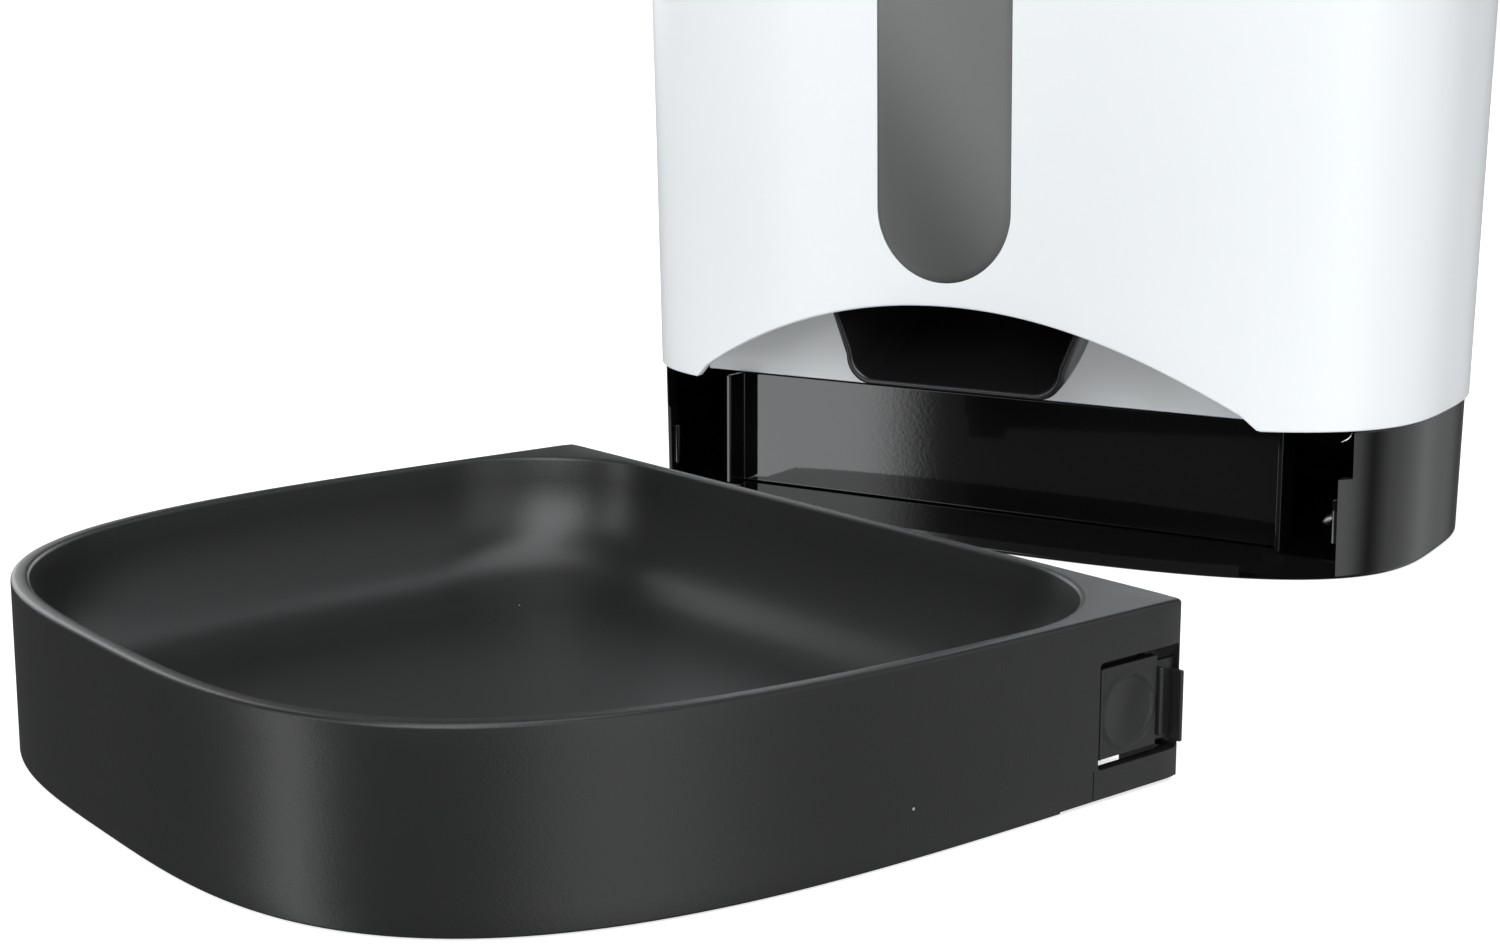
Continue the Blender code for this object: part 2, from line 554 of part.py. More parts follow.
# ---------------------------------------------------------------- lid
def make_lid():
    axis = bpy.data.objects.new("lid_axis", None)
    axis.location = (0, HINGE_Y, HINGE_Z)
    feeder.objects.link(axis)
    shift = Vector(axis.location)

    def local(points):
        return [tuple(Vector(p) - shift) for p in points]

    def dome(z, inset, level=None):
        return local([(x, y, z if level is None else level) for x, y, _ in plan(z, inset)])

    crown = [(0.3640, 0.0), (0.3710, 0.0014), (0.3760, 0.0050), (0.3790, 0.0110), (LID_TOP, 0.0200)]
    inside = [dome(z - 0.0026, inset + 0.0016) for z, inset in reversed(crown)] + [dome(LID_BOTTOM, WALL)]
    outside = [dome(LID_BOTTOM, 0.0)] + [dome(z, inset) for z, inset in crown]
    lid = add("lid", loft(inside + outside), BLACK_SATIN, parent=axis)
    centre_arm = box((-0.0173, -0.0065, 0.0011), (0.0173, -0.0006, 0.0066))
    fuse(lid, centre_arm, rod(KNUCKLE_RADIUS, (-0.0180, 0, 0), (0.0180, 0, 0), 20))
    latch_way = box((-0.0143, -0.1800, 0.0070), (0.0143, -0.1480, 0.0153))
    cut(lid, rod(PIN_RADIUS + GAP, (-0.0500, 0, 0), (0.0500, 0, 0), 16), latch_way)
    liner = add("lid_liner", loft([dome(LID_BOTTOM, 0.0030), dome(LID_BOTTOM, 0.0030, LID_BOTTOM + 0.0020)]),
                WHITE, parent=axis)
    cut(liner, rod(0.0250, (0, -HINGE_Y, -0.0100), (0, -HINGE_Y, 0.0200), 32),
        box((-0.0150, -0.1800, -0.0100), (0.0150, -0.1465, 0.0200)))
    seal = [dome(0.3312, 0.0120, level) for level in (0.3314, 0.3351)]
    seal_inside = [dome(0.3312, 0.0165, level) for level in (0.3351, 0.3314)]
    add("lid_seal", loft(seal + seal_inside, closed=True), RUBBER, parent=axis)
    turn_axis = bpy.data.objects.new("desiccant_axis", None)
    turn_axis.location = (0, -HINGE_Y, -HINGE_Z)
    turn_axis.parent = axis
    feeder.objects.link(turn_axis)
    cup = add("desiccant_cup", rod(0.0246, (0, 0, 0.3160), (0, 0, 0.3440), 32), WHITE, parent=turn_axis)
    cut(cup, rod(0.0228, (0, 0, 0.3180), (0, 0, 0.3600), 32))
    fuse(cup, rod(0.0262, (0, 0, 0.3378), (0, 0, 0.3398), 32))
    cut(cup, rod(0.0228, (0, 0, 0.3180), (0, 0, 0.3600), 32))
    cap = add("desiccant_cap", rod(0.0252, (0, 0, 0.3136), (0, 0, 0.3157), 32), WHITE, parent=turn_axis)
    fuse(cap, box((-0.0160, -0.0020, 0.3090), (0.0160, 0.0020, 0.3140)))
    latch_axis = bpy.data.objects.new("lid_latch_axis", None)
    latch_axis.location = (0, front_y(0, 0.3462) - HINGE_Y, 0.3462 - HINGE_Z)
    latch_axis.parent = axis
    feeder.objects.link(latch_axis)
    latch = add("lid_latch", box((-0.0140, -0.0004, -0.0039), (0.0140, 0.0060, 0.0038)), GREY, parent=latch_axis)
    fuse(latch, box((-0.0070, 0.0036, -0.0150), (0.0070, 0.0056, 0.0)))


# ---------------------------------------------------------------- bowl
def bowl_half_width(ahead, inset=0.0):
    """Half-width of the bowl's outline at a distance ahead of its back edge."""
    share = max(ahead, 0.0) / (BOWL_DEPTH - inset)
    if share >= 1.0:
        return 0.0
    return (BOWL_HALF - inset) * (1 - share ** BOWL_POWER_AHEAD) ** (1 / BOWL_POWER_ACROSS)


def inside_skirt(x, y, inset, corner):
    """True where (x, y) is within the outline, with its back corners rounded."""
    ahead = BOWL_BACK - y
    if ahead < inset:
        return False
    allowed = bowl_half_width(ahead, inset)
    from_back = ahead - inset
    if from_back < corner:
        allowed -= corner - math.sqrt(corner ** 2 - (corner - from_back) ** 2)
    return abs(x) < allowed


def bowl_ring(z, inset, corner):
    """The outline met by rays from the bowl's middle, so that rings of one loft line up."""
    middle = Vector((0.0, BOWL_BACK - 0.0800))
    square = math.atan2(0.0800, BOWL_HALF)
    count = BOWL_POINTS // 4
    back = [square + (math.pi - 2 * square) * i / count for i in range(count)]
    front = [math.pi - square + (math.pi + 2 * square) * i / (3 * count) for i in range(3 * count)]
    ring = []
    for angle in back + front:
        ray = Vector((math.cos(angle), math.sin(angle)))
        near, far = 0.0, 0.2000
        for _ in range(32):
            reach = (near + far) / 2
            point = middle + ray * reach
            if inside_skirt(point.x, point.y, inset, corner):
                near = reach
            else:
                far = reach
        point = middle + ray * near
        ring.append((point.x, point.y, z))
    return ring


def make_bowl():
    place = bpy.data.objects.new("bowl_axis", None)
    place.location = (0, BOWL_AXIS_Y, 0)
    place.rotation_euler = (0, 0, BOWL_TURN)
    feeder.objects.link(place)
    top = BOWL_HEIGHT
    rings = [
        (BOWL_FLOOR - 0.0020, 0.0280, BASIN_CORNER), (0.0052, 0.0185, BASIN_CORNER),
        (0.0074, 0.0122, BASIN_CORNER), (0.0118, 0.0075, BASIN_CORNER), (0.0200, 0.0043, BASIN_CORNER),
        (top - 0.0024, 0.0026, BASIN_CORNER), (top - 0.0024, 0.0022, 0.0012), (BOWL_BOTTOM, 0.0022, 0.0012),
        (BOWL_BOTTOM, 0.0, 0.0012), (top - 0.0010, 0.0, 0.0012), (top - 0.0003, 0.0003, 0.0012),
        (top, 0.0010, 0.0012), (top, RIM_WIDTH - 0.0008, BASIN_CORNER), (top - 0.0008, RIM_WIDTH, BASIN_CORNER),
        (0.0200, 0.0064, BASIN_CORNER), (0.0128, 0.0096, BASIN_CORNER), (0.0088, 0.0142, BASIN_CORNER),
        (0.0070, 0.0200, BASIN_CORNER), (BOWL_FLOOR, 0.0280, BASIN_CORNER),
    ]
    bowl = add("bowl", loft([bowl_ring(*ring) for ring in rings]), BLACK_SATIN, parent=place)
    back_notch = box((-0.0860, BOWL_BACK - 0.0300, -0.0100), (0.0860, BOWL_BACK + 0.0100, 0.0042))
    ways = []
    for side in (-1, 1):
        low_x, high_x = sorted((side * 0.0900, side * 0.1100))
        ways.append(box((low_x, BOWL_BACK - LATCH_FRONT - 0.0002, LATCH_LOW - 0.0018),
                        (high_x, BOWL_BACK - LATCH_BACK, LATCH_HIGH + 0.0014)))
    raised = box((-2 * BOWL_HALF, BOWL_BACK - BOWL_RAISED, -BOWL_HEIGHT), (2 * BOWL_HALF, 2 * BOWL_BACK, BOWL_BACK_BOTTOM))
    cut(bowl, back_notch, raised, *ways)
    pad = add("bowl_pad", rod(0.0120, (0, 0, 0), (0, 0, BOWL_FLOOR - 0.0020 - GAP), 32), RUBBER)
    pad.location = (0, BOWL_AXIS_Y, 0)
    for name, side in (("latch_left", -1), ("latch_right", 1)):
        make_latch(name, side, place)


def make_latch(name, side, place):
    """A spring tab in the bowl's side, pressed inwards with a fingertip, with a catch rib at its back end."""
    axis = bpy.data.objects.new(f"{name}_axis", None)
    axis.location = (side * (BOWL_HALF - 0.0012), BOWL_BACK - LATCH_FRONT + 0.0010, 0)
    axis.parent = place
    feeder.objects.link(axis)
    length = LATCH_FRONT - 0.0010 - LATCH_BACK - GAP
    face = 0.0008
    low_x, high_x = sorted((side * (face - 0.0018), side * face))
    tab = add(name, box((low_x, -0.0010 + GAP, LATCH_LOW), (high_x, length, LATCH_HIGH)), BLACK_SATIN, parent=axis)
    dimple_y = LATCH_FRONT - 0.0010 - 0.0142
    rib_low, rib_high = sorted((side * 0.0, side * 0.0026))
    fuse(tab, box((rib_low, length - CATCH_RIB, 0.0078), (rib_high, length, 0.0215)))
    depth = bmesh.new()
    bmesh.ops.create_uvsphere(depth, u_segments=24, v_segments=12, radius=0.0300)
    bmesh.ops.translate(depth, vec=(side * (face + 0.0300 - 0.0007), dimple_y, 0.0162), verts=depth.verts)
    cut(tab, depth)


def main():
    make_base()
    make_feet()
    make_dock_panel()
    make_battery_bay()
    make_power_socket()
    make_housing()
    make_window()
    make_chute()
    make_cup()
    make_rotor()
    make_gears()
    make_motor()
    make_hopper()
    make_electronics()
    make_controls()
    make_lid()
    make_bowl()
    bpy.context.view_layer.update()


main()
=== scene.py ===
import json
import math

import bmesh
import bpy
from mathutils import Matrix, Vector


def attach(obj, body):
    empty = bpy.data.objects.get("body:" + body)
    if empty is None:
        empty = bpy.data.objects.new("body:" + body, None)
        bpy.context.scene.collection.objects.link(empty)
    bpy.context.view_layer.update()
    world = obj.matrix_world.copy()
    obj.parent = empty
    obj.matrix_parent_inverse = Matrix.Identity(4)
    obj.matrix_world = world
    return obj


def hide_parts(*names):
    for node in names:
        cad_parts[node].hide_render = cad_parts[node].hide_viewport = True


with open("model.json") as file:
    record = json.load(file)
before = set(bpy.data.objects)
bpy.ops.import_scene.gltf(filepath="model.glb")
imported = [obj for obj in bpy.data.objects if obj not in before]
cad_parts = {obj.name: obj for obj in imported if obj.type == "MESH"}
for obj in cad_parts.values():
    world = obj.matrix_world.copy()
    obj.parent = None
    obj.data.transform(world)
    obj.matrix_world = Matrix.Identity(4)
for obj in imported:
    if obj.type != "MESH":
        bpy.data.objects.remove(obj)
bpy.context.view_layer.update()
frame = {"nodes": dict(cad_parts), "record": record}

# ---------------------------------------------------------------- sizes, in metres
BODY_HALF_WIDTH = 0.1150       # the tower's plan is a superellipse that grows with height
BODY_HALF_DEPTH = 0.0670
WIDTH_TAPER = 0.0169
DEPTH_TAPER = 0.0236
PLAN_POWER = 3.21
BASE_INSET = 0.0010
BASE_TOP = 0.0381
HOUSING_BOTTOM = 0.0384
HOUSING_TOP = 0.3350
LID_BOTTOM = 0.3354
LID_TOP = 0.3800
WALL = 0.0024
FLOOR_TOP = 0.0036

ARCH_TOP = 0.0653              # the arch over the bowl: z = top - drop * (x / 0.1) ** power
ARCH_DROP = 0.0370
ARCH_POWER = 2.055
ARCH_KINK_X = 0.0796
ARCH_END_X = 0.0836

WINDOW_HALF = 0.0194
WINDOW_LOW = 0.0911            # centres of the window's two round ends
WINDOW_HIGH = 0.2380

DOCK_WALL_Y = -0.0340
POST_X = 0.0840
POST_FRONT_Y = -0.0418
POST_WIDTH = 0.0015
SLOT_OUTER_X = 0.1038
CATCH_X = 0.1010
CATCH_TOP = 0.0260
CATCH_FACE_Y = -0.0443         # bumps on the opening's sides hold the bowl's latches
CATCH_TIP_X = 0.0992
CATCH_DEPTH = 0.0012
CATCH_LOW = 0.0090
CATCH_HIGH = 0.0205
SLOT_FLOOR_TOP = 0.0005
SLOT_BACK_Y = -0.0410
STRIP_HALF = 0.0800
DOOR_OPENING_HALF = 0.0443     # the battery door's place in the base's underside
DOOR_OPENING_FRONT = 0.0057
SOCKET_RADIUS = 0.0048         # the power socket's hole at the back
SOCKET_X = 0.0680
SOCKET_Z = 0.0200
FOOT_RADIUS = 0.0083
FOOT_RECESS = 0.0024
FOOT_XS = (-0.0850, 0.0850)
FOOT_YS = (-0.0280, 0.0380)
SPEAKER_SLOTS = 5              # upright slots in the housing's back
SPEAKER_X = 0.0570
SPEAKER_STEP = 0.0050

CHUTE_PIVOT_Y = -0.0620
CHUTE_PIVOT_Z = 0.1080
CHUTE_WALL = 0.0016
CHUTE_NEAR = (0.0300, 0.0130)  # chute section at the top and at the mouth, from the pivot outwards
CHUTE_FAR = (0.0663, 0.0425)
CHUTE_WIDE = (0.0436, 0.0255)
CHUTE_NARROW = (0.0324, 0.0255)
CHUTE_CORNER = (0.0075, 0.0040)

CUT_FRONT = -0.1000            # cutters through the tower's front run between these depths
CUT_BACK = -0.0500
PANEL_HALF = 0.0240
PANEL_LOW = 0.2660
PANEL_HIGH = 0.3180
PANEL_CORNER = 0.0060
PANEL_GAP = 0.0002
LENS_HALF = 0.0180
LENS_LOW = 0.2890
LENS_HIGH = 0.3120
LENS_CORNER = 0.0030
DIGIT_XS = (-0.0115, -0.0045, 0.0045, 0.0115)
BAR_LENGTH = 0.0050
BAR_WIDTH = 0.0008
BAR_HEIGHT = 0.0005
BUTTON_Z = 0.2765
BUTTON_RADIUS = 0.0042
BUTTON_XS = (-0.0165, -0.0055, 0.0055, 0.0165)

HINGE_Y = 0.0800
HINGE_Z = 0.3350
KNUCKLE_RADIUS = 0.0032
KNUCKLE_EDGE = 0.0004
LID_SHOULDER = 0.3630          # the lid's side ends here and its domed top begins
LID_REACH = 0.0210
LID_CATCH_Z = 0.3462

BOWL_AXIS_Y = -0.2630
BOWL_TURN = math.radians(-18.90)
BOWL_BACK = 0.0900
BOWL_HALF = 0.0988
BOWL_DEPTH = 0.1677
BOWL_POWER_ACROSS = 3.22
BOWL_POWER_AHEAD = 4.17
BOWL_HEIGHT = 0.0348
BOWL_BOTTOM = 0.0003
BOWL_BACK_BOTTOM = 0.0008
BOWL_RAISED = 0.0320           # the back of the bowl, this far ahead, is cut a little higher
BOWL_FLOOR = 0.0066
BASIN_CORNER = 0.0350
BASIN_RUN = 0.0250             # how far the curve from wall to floor reaches inwards
BASIN_POWER = 3.0
BASIN_SLOPE = 0.0030
RIM_WIDTH = 0.0032
RIM_ROUND = 0.0008
RIM_EDGE = 0.0009
SHELL = 0.0022
SQUARE_CORNER = 0.0012
NOTCH_HALF = 0.0860            # the notch that clears the dock's raised floor
NOTCH_AHEAD = 0.0300
NOTCH_TOP = 0.0042
LATCH_FRONT = 0.0222           # distances ahead of the bowl's back edge
LATCH_BACK = 0.0006
LATCH_LOW = 0.0081
LATCH_HIGH = 0.0250

FINE = 288                     # points round the tower's outline
BOWL_RAYS = 300                # points round the bowl's outline


# ---------------------------------------------------------------- mesh helpers
def skin(rings, closed=False):
    """Faces between rings of equal length, capped at both ends or closed round on itself."""
    bm = bmesh.new()
    rows = [[bm.verts.new(point) for point in ring] for ring in rings]
    pairs = list(zip(rows, rows[1:]))
    if closed:
        pairs.append((rows[-1], rows[0]))
    for low, high in pairs:
        count = len(low)
        for i in range(count):
            j = (i + 1) % count
            bm.faces.new((low[i], low[j], high[j], high[i]))
    if not closed:
        bm.faces.new(list(reversed(rows[0])))
        bm.faces.new(rows[-1])
    return bm


def prism(outline, low, high, axis="Z"):
    """A flat outline extruded along Z, or along Y when its points are (x, z)."""
    if axis == "Z":
        return skin([[(x, y, low) for x, y in outline], [(x, y, high) for x, y in outline]])
    return skin([[(x, low, z) for x, z in outline], [(x, high, z) for x, z in outline]])


def box(low, high, edge=0.0, segments=3):
    """A box between two corners, with its edges rounded where a radius is given."""
    bm = bmesh.new()
    bmesh.ops.create_cube(bm, size=1.0)
    size = Vector(high) - Vector(low)
    middle = (Vector(high) + Vector(low)) / 2
    bmesh.ops.transform(bm, matrix=Matrix.Translation(middle) @ Matrix.Diagonal((*size, 1.0)), verts=bm.verts)
    if edge:
        bmesh.ops.bevel(bm, geom=bm.edges[:], offset=edge, segments=segments, profile=0.5, affect="EDGES")
    return bm


def turned(profile, centre, axis="Z", sides=48):
    """A round solid from (radius, distance) pairs along an axis through the centre."""
    rings = []
    for radius, along in profile:
        ring = []
        for i in range(sides):
            a = 2 * math.pi * i / sides
            u, v = max(radius, 1e-5) * math.cos(a), max(radius, 1e-5) * math.sin(a)
            offset = {"Z": (u, v, along), "Y": (u, along, v), "X": (along, u, v)}[axis]
            ring.append(tuple(Vector(centre) + Vector(offset)))
        rings.append(ring)
    return skin(rings)


def quarter(radius, steps=4):
    """(inset, drop) pairs round a quarter circle, from flush with the side to flush with the end."""
    turns = [math.pi / 2 * i / steps for i in range(steps + 1)]
    return [(radius * (1 - math.cos(t)), radius * (1 - math.sin(t))) for t in turns]


def merged(*shapes):
    """One mesh holding several shapes, each a closed body of its own."""
    whole = bmesh.new()
    for shape in shapes:
        mesh = bpy.data.meshes.new("part")
        shape.to_mesh(mesh)
        shape.free()
        whole.from_mesh(mesh)
        bpy.data.meshes.remove(mesh)
    return whole


def smooth(mesh, angle):
    mesh.shade_smooth()
    mesh.set_sharp_from_angle(angle=math.radians(angle))


def new_object(name, bm, angle=35):
    bmesh.ops.remove_doubles(bm, verts=bm.verts, dist=1e-6)
    bmesh.ops.recalc_face_normals(bm, faces=bm.faces)
    mesh = bpy.data.meshes.new(name)
    bm.to_mesh(mesh)
    bm.free()
    smooth(mesh, angle)
    obj = bpy.data.objects.new(name, mesh)
    bpy.context.scene.collection.objects.link(obj)
    return obj


def carve(obj, *shapes, angle=35):
    """Cuts shapes out of an object for good."""
    for shape in shapes:
        cutter = new_object("cutter", shape)
        change = obj.modifiers.new("cut", "BOOLEAN")
        change.operation = "DIFFERENCE"
        change.solver = "EXACT"
        change.object = cutter
        bpy.context.view_layer.update()
        result = bpy.data.meshes.new_from_object(obj.evaluated_get(bpy.context.evaluated_depsgraph_get()))
        obj.modifiers.clear()
        worn = obj.data
        obj.data = result
        bpy.data.meshes.remove(worn)
        bpy.data.objects.remove(cutter)
    smooth(obj.data, angle)


def flatten(obj):
    """Keeps broad faces flat in reflections and leaves the bending to the rounded edges."""
    change = obj.modifiers.new("flat faces", "WEIGHTED_NORMAL")
    change.keep_sharp = True


def piece(obj, material, body, slot_name, *nodes):
    """Gives a piece its material and its body, and hides the solids it stands for; the finish slot it is
    given is not used.
    """
    obj.data.materials.clear()
    obj.data.materials.append(material)
    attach(obj, body)
    if nodes:
        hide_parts(*nodes)
    return obj


# ---------------------------------------------------------------- outlines
def body_point(turn, z, inset=0.0):
    """A point of the tower's outline at height z."""
    c, s = math.cos(turn), math.sin(turn)
    reach = (abs(c) ** PLAN_POWER + abs(s) ** PLAN_POWER) ** (-1 / PLAN_POWER)
    half_x = BODY_HALF_WIDTH + WIDTH_TAPER * z - inset
    half_y = BODY_HALF_DEPTH + DEPTH_TAPER * z - inset
    return (half_x * c * reach, half_y * s * reach, z)


def body_ring_at(turns, z, inset):
    return [body_point(turn, z, inset) for turn in turns]


def body_ring(z, inset=0.0):
    return body_ring_at([2 * math.pi * i / FINE for i in range(FINE)], z, inset)


def front_y(x, z):
    """Depth of the tower's front surface at (x, z)."""
    half_x = BODY_HALF_WIDTH + WIDTH_TAPER * z
    half_y = BODY_HALF_DEPTH + DEPTH_TAPER * z
    return -half_y * (1 - abs(x / half_x) ** PLAN_POWER) ** (1 / PLAN_POWER)


def front_turn(x, z):
    """The outline's parameter where the front surface passes x."""
    half_x = BODY_HALF_WIDTH + WIDTH_TAPER * z
    share = x / half_x
    return math.atan2(-(1 - abs(share) ** PLAN_POWER) ** (1 / PLAN_POWER), share)


def stadium(half, low, high, segments=24):
    """An upright slot with round ends, as (x, z) points."""
    turns = [math.pi * i / segments for i in range(segments + 1)]
    points = [(half * math.cos(a), high + half * math.sin(a)) for a in turns]
    points += [(-half * math.cos(a), low - half * math.sin(a)) for a in turns]
    return points


def rounded_rect(half, low, high, radius, segments=8):
    """An upright rectangle with round corners, as (x, z) points."""
    points = []
    corners = ((1, 1, 0), (-1, 1, 90), (-1, -1, 180), (1, -1, 270))
    middle, tall = (low + high) / 2, (high - low) / 2
    for side, up, start in corners:
        cx, cz = side * (half - radius), middle + up * (tall - radius)
        for i in range(segments + 1):
            a = math.radians(start + 90 * i / segments)
            points.append((cx + radius * math.cos(a), cz + radius * math.sin(a)))
    return points


def plate(outline, proud, depth, edge, fill=10):
    """A plate that follows the tower's front, with a rounded front edge and a gridded face."""
    cx = sum(x for x, _ in outline) / len(outline)
    low, high = min(z for _, z in outline), max(z for _, z in outline)
    half = max(abs(x - cx) for x, _ in outline)
    spine_low, spine_high = low + half, high - half
    if spine_low > spine_high:
        spine_low = spine_high = (low + high) / 2

    def shrunk(share, inset):
        points = []
        for x, z in outline:
            hub = min(max(z, spine_low), spine_high)
            dx, dz = x - cx, z - hub
            reach = math.hypot(dx, dz)
            scale = share * (reach - inset) / reach
            points.append((cx + dx * scale, hub + dz * scale))
        return points

    rings = [[(x, front_y(x, z) + depth, z) for x, z in outline]]
    for inset, drop in quarter(edge):
        rings.append([(x, front_y(x, z) + drop - proud, z) for x, z in shrunk(1.0, inset)])
    for k in range(1, fill):
        rings.append([(x, front_y(x, z) - proud, z) for x, z in shrunk(1 - k / fill, edge)])
    return skin(rings)


# ---------------------------------------------------------------- materials
def surface(name, dark, light, roughness, grain=0.06, grain_scale=900.0, cloud_scale=14.0, coat=0.0,
            metallic=0.0, transmission=0.0, specks=0.0, ior=1.5):
    """Plastic, rubber or metal: clouded colour, uneven gloss, fine grain and, if asked, dust."""
    mat = bpy.data.materials.new(name)
    mat.use_nodes = True
    nodes, links = mat.node_tree.nodes, mat.node_tree.links
    shader = nodes["Principled BSDF"]
    shader.inputs["Metallic"].default_value = metallic
    shader.inputs["IOR"].default_value = ior
    shader.inputs["Coat Weight"].default_value = coat
    shader.inputs["Coat Roughness"].default_value = 0.08
    shader.inputs["Transmission Weight"].default_value = transmission
    where = nodes.new("ShaderNodeTexCoord")
    cloud = nodes.new("ShaderNodeTexNoise")
    cloud.inputs["Scale"].default_value = cloud_scale
    cloud.inputs["Detail"].default_value = 4.0
    links.new(where.outputs["Object"], cloud.inputs["Vector"])
    tint = nodes.new("ShaderNodeMix")
    tint.data_type = "RGBA"
    tint.inputs["A"].default_value = (*dark, 1.0)
    tint.inputs["B"].default_value = (*light, 1.0)
    links.new(cloud.outputs["Fac"], tint.inputs["Factor"])
    colour = tint.outputs["Result"]
    fine = nodes.new("ShaderNodeTexNoise")
    fine.inputs["Scale"].default_value = grain_scale
    fine.inputs["Detail"].default_value = 3.0
    links.new(where.outputs["Object"], fine.inputs["Vector"])
    if specks:
        colour = add_specks(nodes, links, where, colour, specks)
    links.new(colour, shader.inputs["Base Color"])
    gloss = nodes.new("ShaderNodeMapRange")
    gloss.inputs["To Min"].default_value = roughness[0]
    gloss.inputs["To Max"].default_value = roughness[1]
    links.new(cloud.outputs["Fac"], gloss.inputs["Value"])
    links.new(gloss.outputs["Result"], shader.inputs["Roughness"])
    bump = nodes.new("ShaderNodeBump")
    bump.inputs["Strength"].default_value = grain
    bump.inputs["Distance"].default_value = 0.0004
    links.new(fine.outputs["Fac"], bump.inputs["Height"])
    links.new(bump.outputs["Normal"], shader.inputs["Normal"])
    return mat


def add_specks(nodes, links, where, colour, amount):
    """Sparse pale dust: small spots at a few of the cell centres of a fine lattice."""
    cells = nodes.new("ShaderNodeTexVoronoi")
    cells.inputs["Scale"].default_value = 160.0
    links.new(where.outputs["Object"], cells.inputs["Vector"])
    near = nodes.new("ShaderNodeMath")
    near.operation = "LESS_THAN"
    near.inputs[1].default_value = 0.045
    links.new(cells.outputs["Distance"], near.inputs[0])
    pick = nodes.new("ShaderNodeSeparateColor")
    links.new(cells.outputs["Color"], pick.inputs["Color"])
    few = nodes.new("ShaderNodeMath")
    few.operation = "LESS_THAN"
    few.inputs[1].default_value = amount
    links.new(pick.outputs["Red"], few.inputs[0])
    both = nodes.new("ShaderNodeMath")
    both.operation = "MULTIPLY"
    links.new(near.outputs[0], both.inputs[0])
    links.new(few.outputs[0], both.inputs[1])
    dusty = nodes.new("ShaderNodeMix")
    dusty.data_type = "RGBA"
    dusty.inputs["B"].default_value = (0.32, 0.33, 0.33, 1.0)
    links.new(both.outputs[0], dusty.inputs["Factor"])
    links.new(colour, dusty.inputs["A"])
    return dusty.outputs["Result"]


def smoked(name):
    """The level window: opaque grey plastic, with painted shade and reflection that lighten it upwards and to
    the right.
    """
    mat = surface(name, (0.034, 0.036, 0.035), (0.040, 0.042, 0.041), (0.30, 0.36), grain=0.05, coat=0.1)
    nodes, links = mat.node_tree.nodes, mat.node_tree.links
    shader = nodes["Principled BSDF"]
    where = next(n for n in nodes if n.type == "TEX_COORD")
    under = shader.inputs["Base Color"].links[0].from_socket
    split = nodes.new("ShaderNodeSeparateXYZ")
    links.new(where.outputs["Object"], split.inputs["Vector"])
    # painted shade and reflection: x * 1.5 + z tilts the ramp so the colour lightens upwards and to the right
    lean = nodes.new("ShaderNodeMath")
    lean.operation = "MULTIPLY_ADD"
    lean.inputs[1].default_value = 1.5
    links.new(split.outputs["X"], lean.inputs[0])
    links.new(split.outputs["Z"], lean.inputs[2])
    rise = nodes.new("ShaderNodeMapRange")
    rise.interpolation_type = "SMOOTHSTEP"
    rise.inputs["From Min"].default_value = 0.074
    rise.inputs["From Max"].default_value = 0.136
    links.new(lean.outputs[0], rise.inputs["Value"])
    # mixes the dark tint towards a lighter grey, a painted reflection at the upper right
    painted_shade_mix = nodes.new("ShaderNodeMix")
    painted_shade_mix.data_type = "RGBA"
    painted_shade_mix.inputs["B"].default_value = (0.118, 0.122, 0.120, 1.0)
    links.new(rise.outputs["Result"], painted_shade_mix.inputs["Factor"])
    links.new(under, painted_shade_mix.inputs["A"])
    links.new(painted_shade_mix.outputs["Result"], shader.inputs["Base Color"])
    return mat


WHITE = surface("white moulding", (0.680, 0.701, 0.710), (0.705, 0.722, 0.731), (0.30, 0.36),
                grain=0.03, coat=0.15)
GLOSS = surface("gloss black", (0.0022, 0.0023, 0.0025), (0.0040, 0.0041, 0.0044), (0.03, 0.05),
                grain=0.012, coat=0.3)
SATIN = surface("satin charcoal", (0.0085, 0.0088, 0.0088), (0.0125, 0.0127, 0.0127), (0.33, 0.38),
                grain=0.10, grain_scale=2200.0, specks=0.035)
CHUTE = surface("chute charcoal", (0.006, 0.006, 0.0065), (0.010, 0.010, 0.011), (0.24, 0.30), grain=0.08)
LID_BLACK = surface("lid black", (0.016, 0.016, 0.017), (0.022, 0.022, 0.023), (0.24, 0.30),
                    grain=0.06, coat=0.1)
# the level window's smoked grey, with painted shade and reflection in its colour
SMOKE_WITH_PAINTED_SHADE = smoked("smoked window with painted shade")
LENS = surface("smoked lens", (0.010, 0.012, 0.014), (0.014, 0.016, 0.018), (0.06, 0.09),
               grain=0.01, coat=0.5)
CLEAR = surface("clear moulding", (0.75, 0.78, 0.80), (0.82, 0.84, 0.86), (0.10, 0.16),
                transmission=0.8, grain=0.02)
STEEL = surface("bright steel", (0.52, 0.52, 0.53), (0.66, 0.66, 0.67), (0.22, 0.34),
                metallic=1.0, grain=0.08)
RUBBER = surface("matt rubber", (0.018, 0.018, 0.018), (0.030, 0.030, 0.030), (0.75, 0.9), grain=0.25)
GREEN = surface("circuit board", (0.012, 0.10, 0.045), (0.020, 0.15, 0.065), (0.35, 0.5), cloud_scale=220.0)
ACETAL = surface("natural acetal", (0.74, 0.72, 0.66), (0.80, 0.78, 0.72), (0.35, 0.45), grain=0.05)
GREY = surface("grey moulding", (0.24, 0.25, 0.26), (0.30, 0.31, 0.32), (0.38, 0.48), grain=0.12)
JACKET = surface("battery jacket", (0.16, 0.13, 0.07), (0.22, 0.17, 0.09), (0.28, 0.36), metallic=0.5)
MARK = surface("printed mark", (0.55, 0.57, 0.58), (0.62, 0.64, 0.65), (0.4, 0.5), grain=0.02)

SLOT_LOOKS = {
    "gloss_black": GLOSS, "white_shell": WHITE, "satin_black": SATIN, "smoked_plastic": LENS,
    "clear_plastic": CLEAR, "steel": STEEL, "rubber": RUBBER, "board_green": GREEN, "acetal": ACETAL,
    "grey_plastic": GREY, "battery_jacket": JACKET,
}


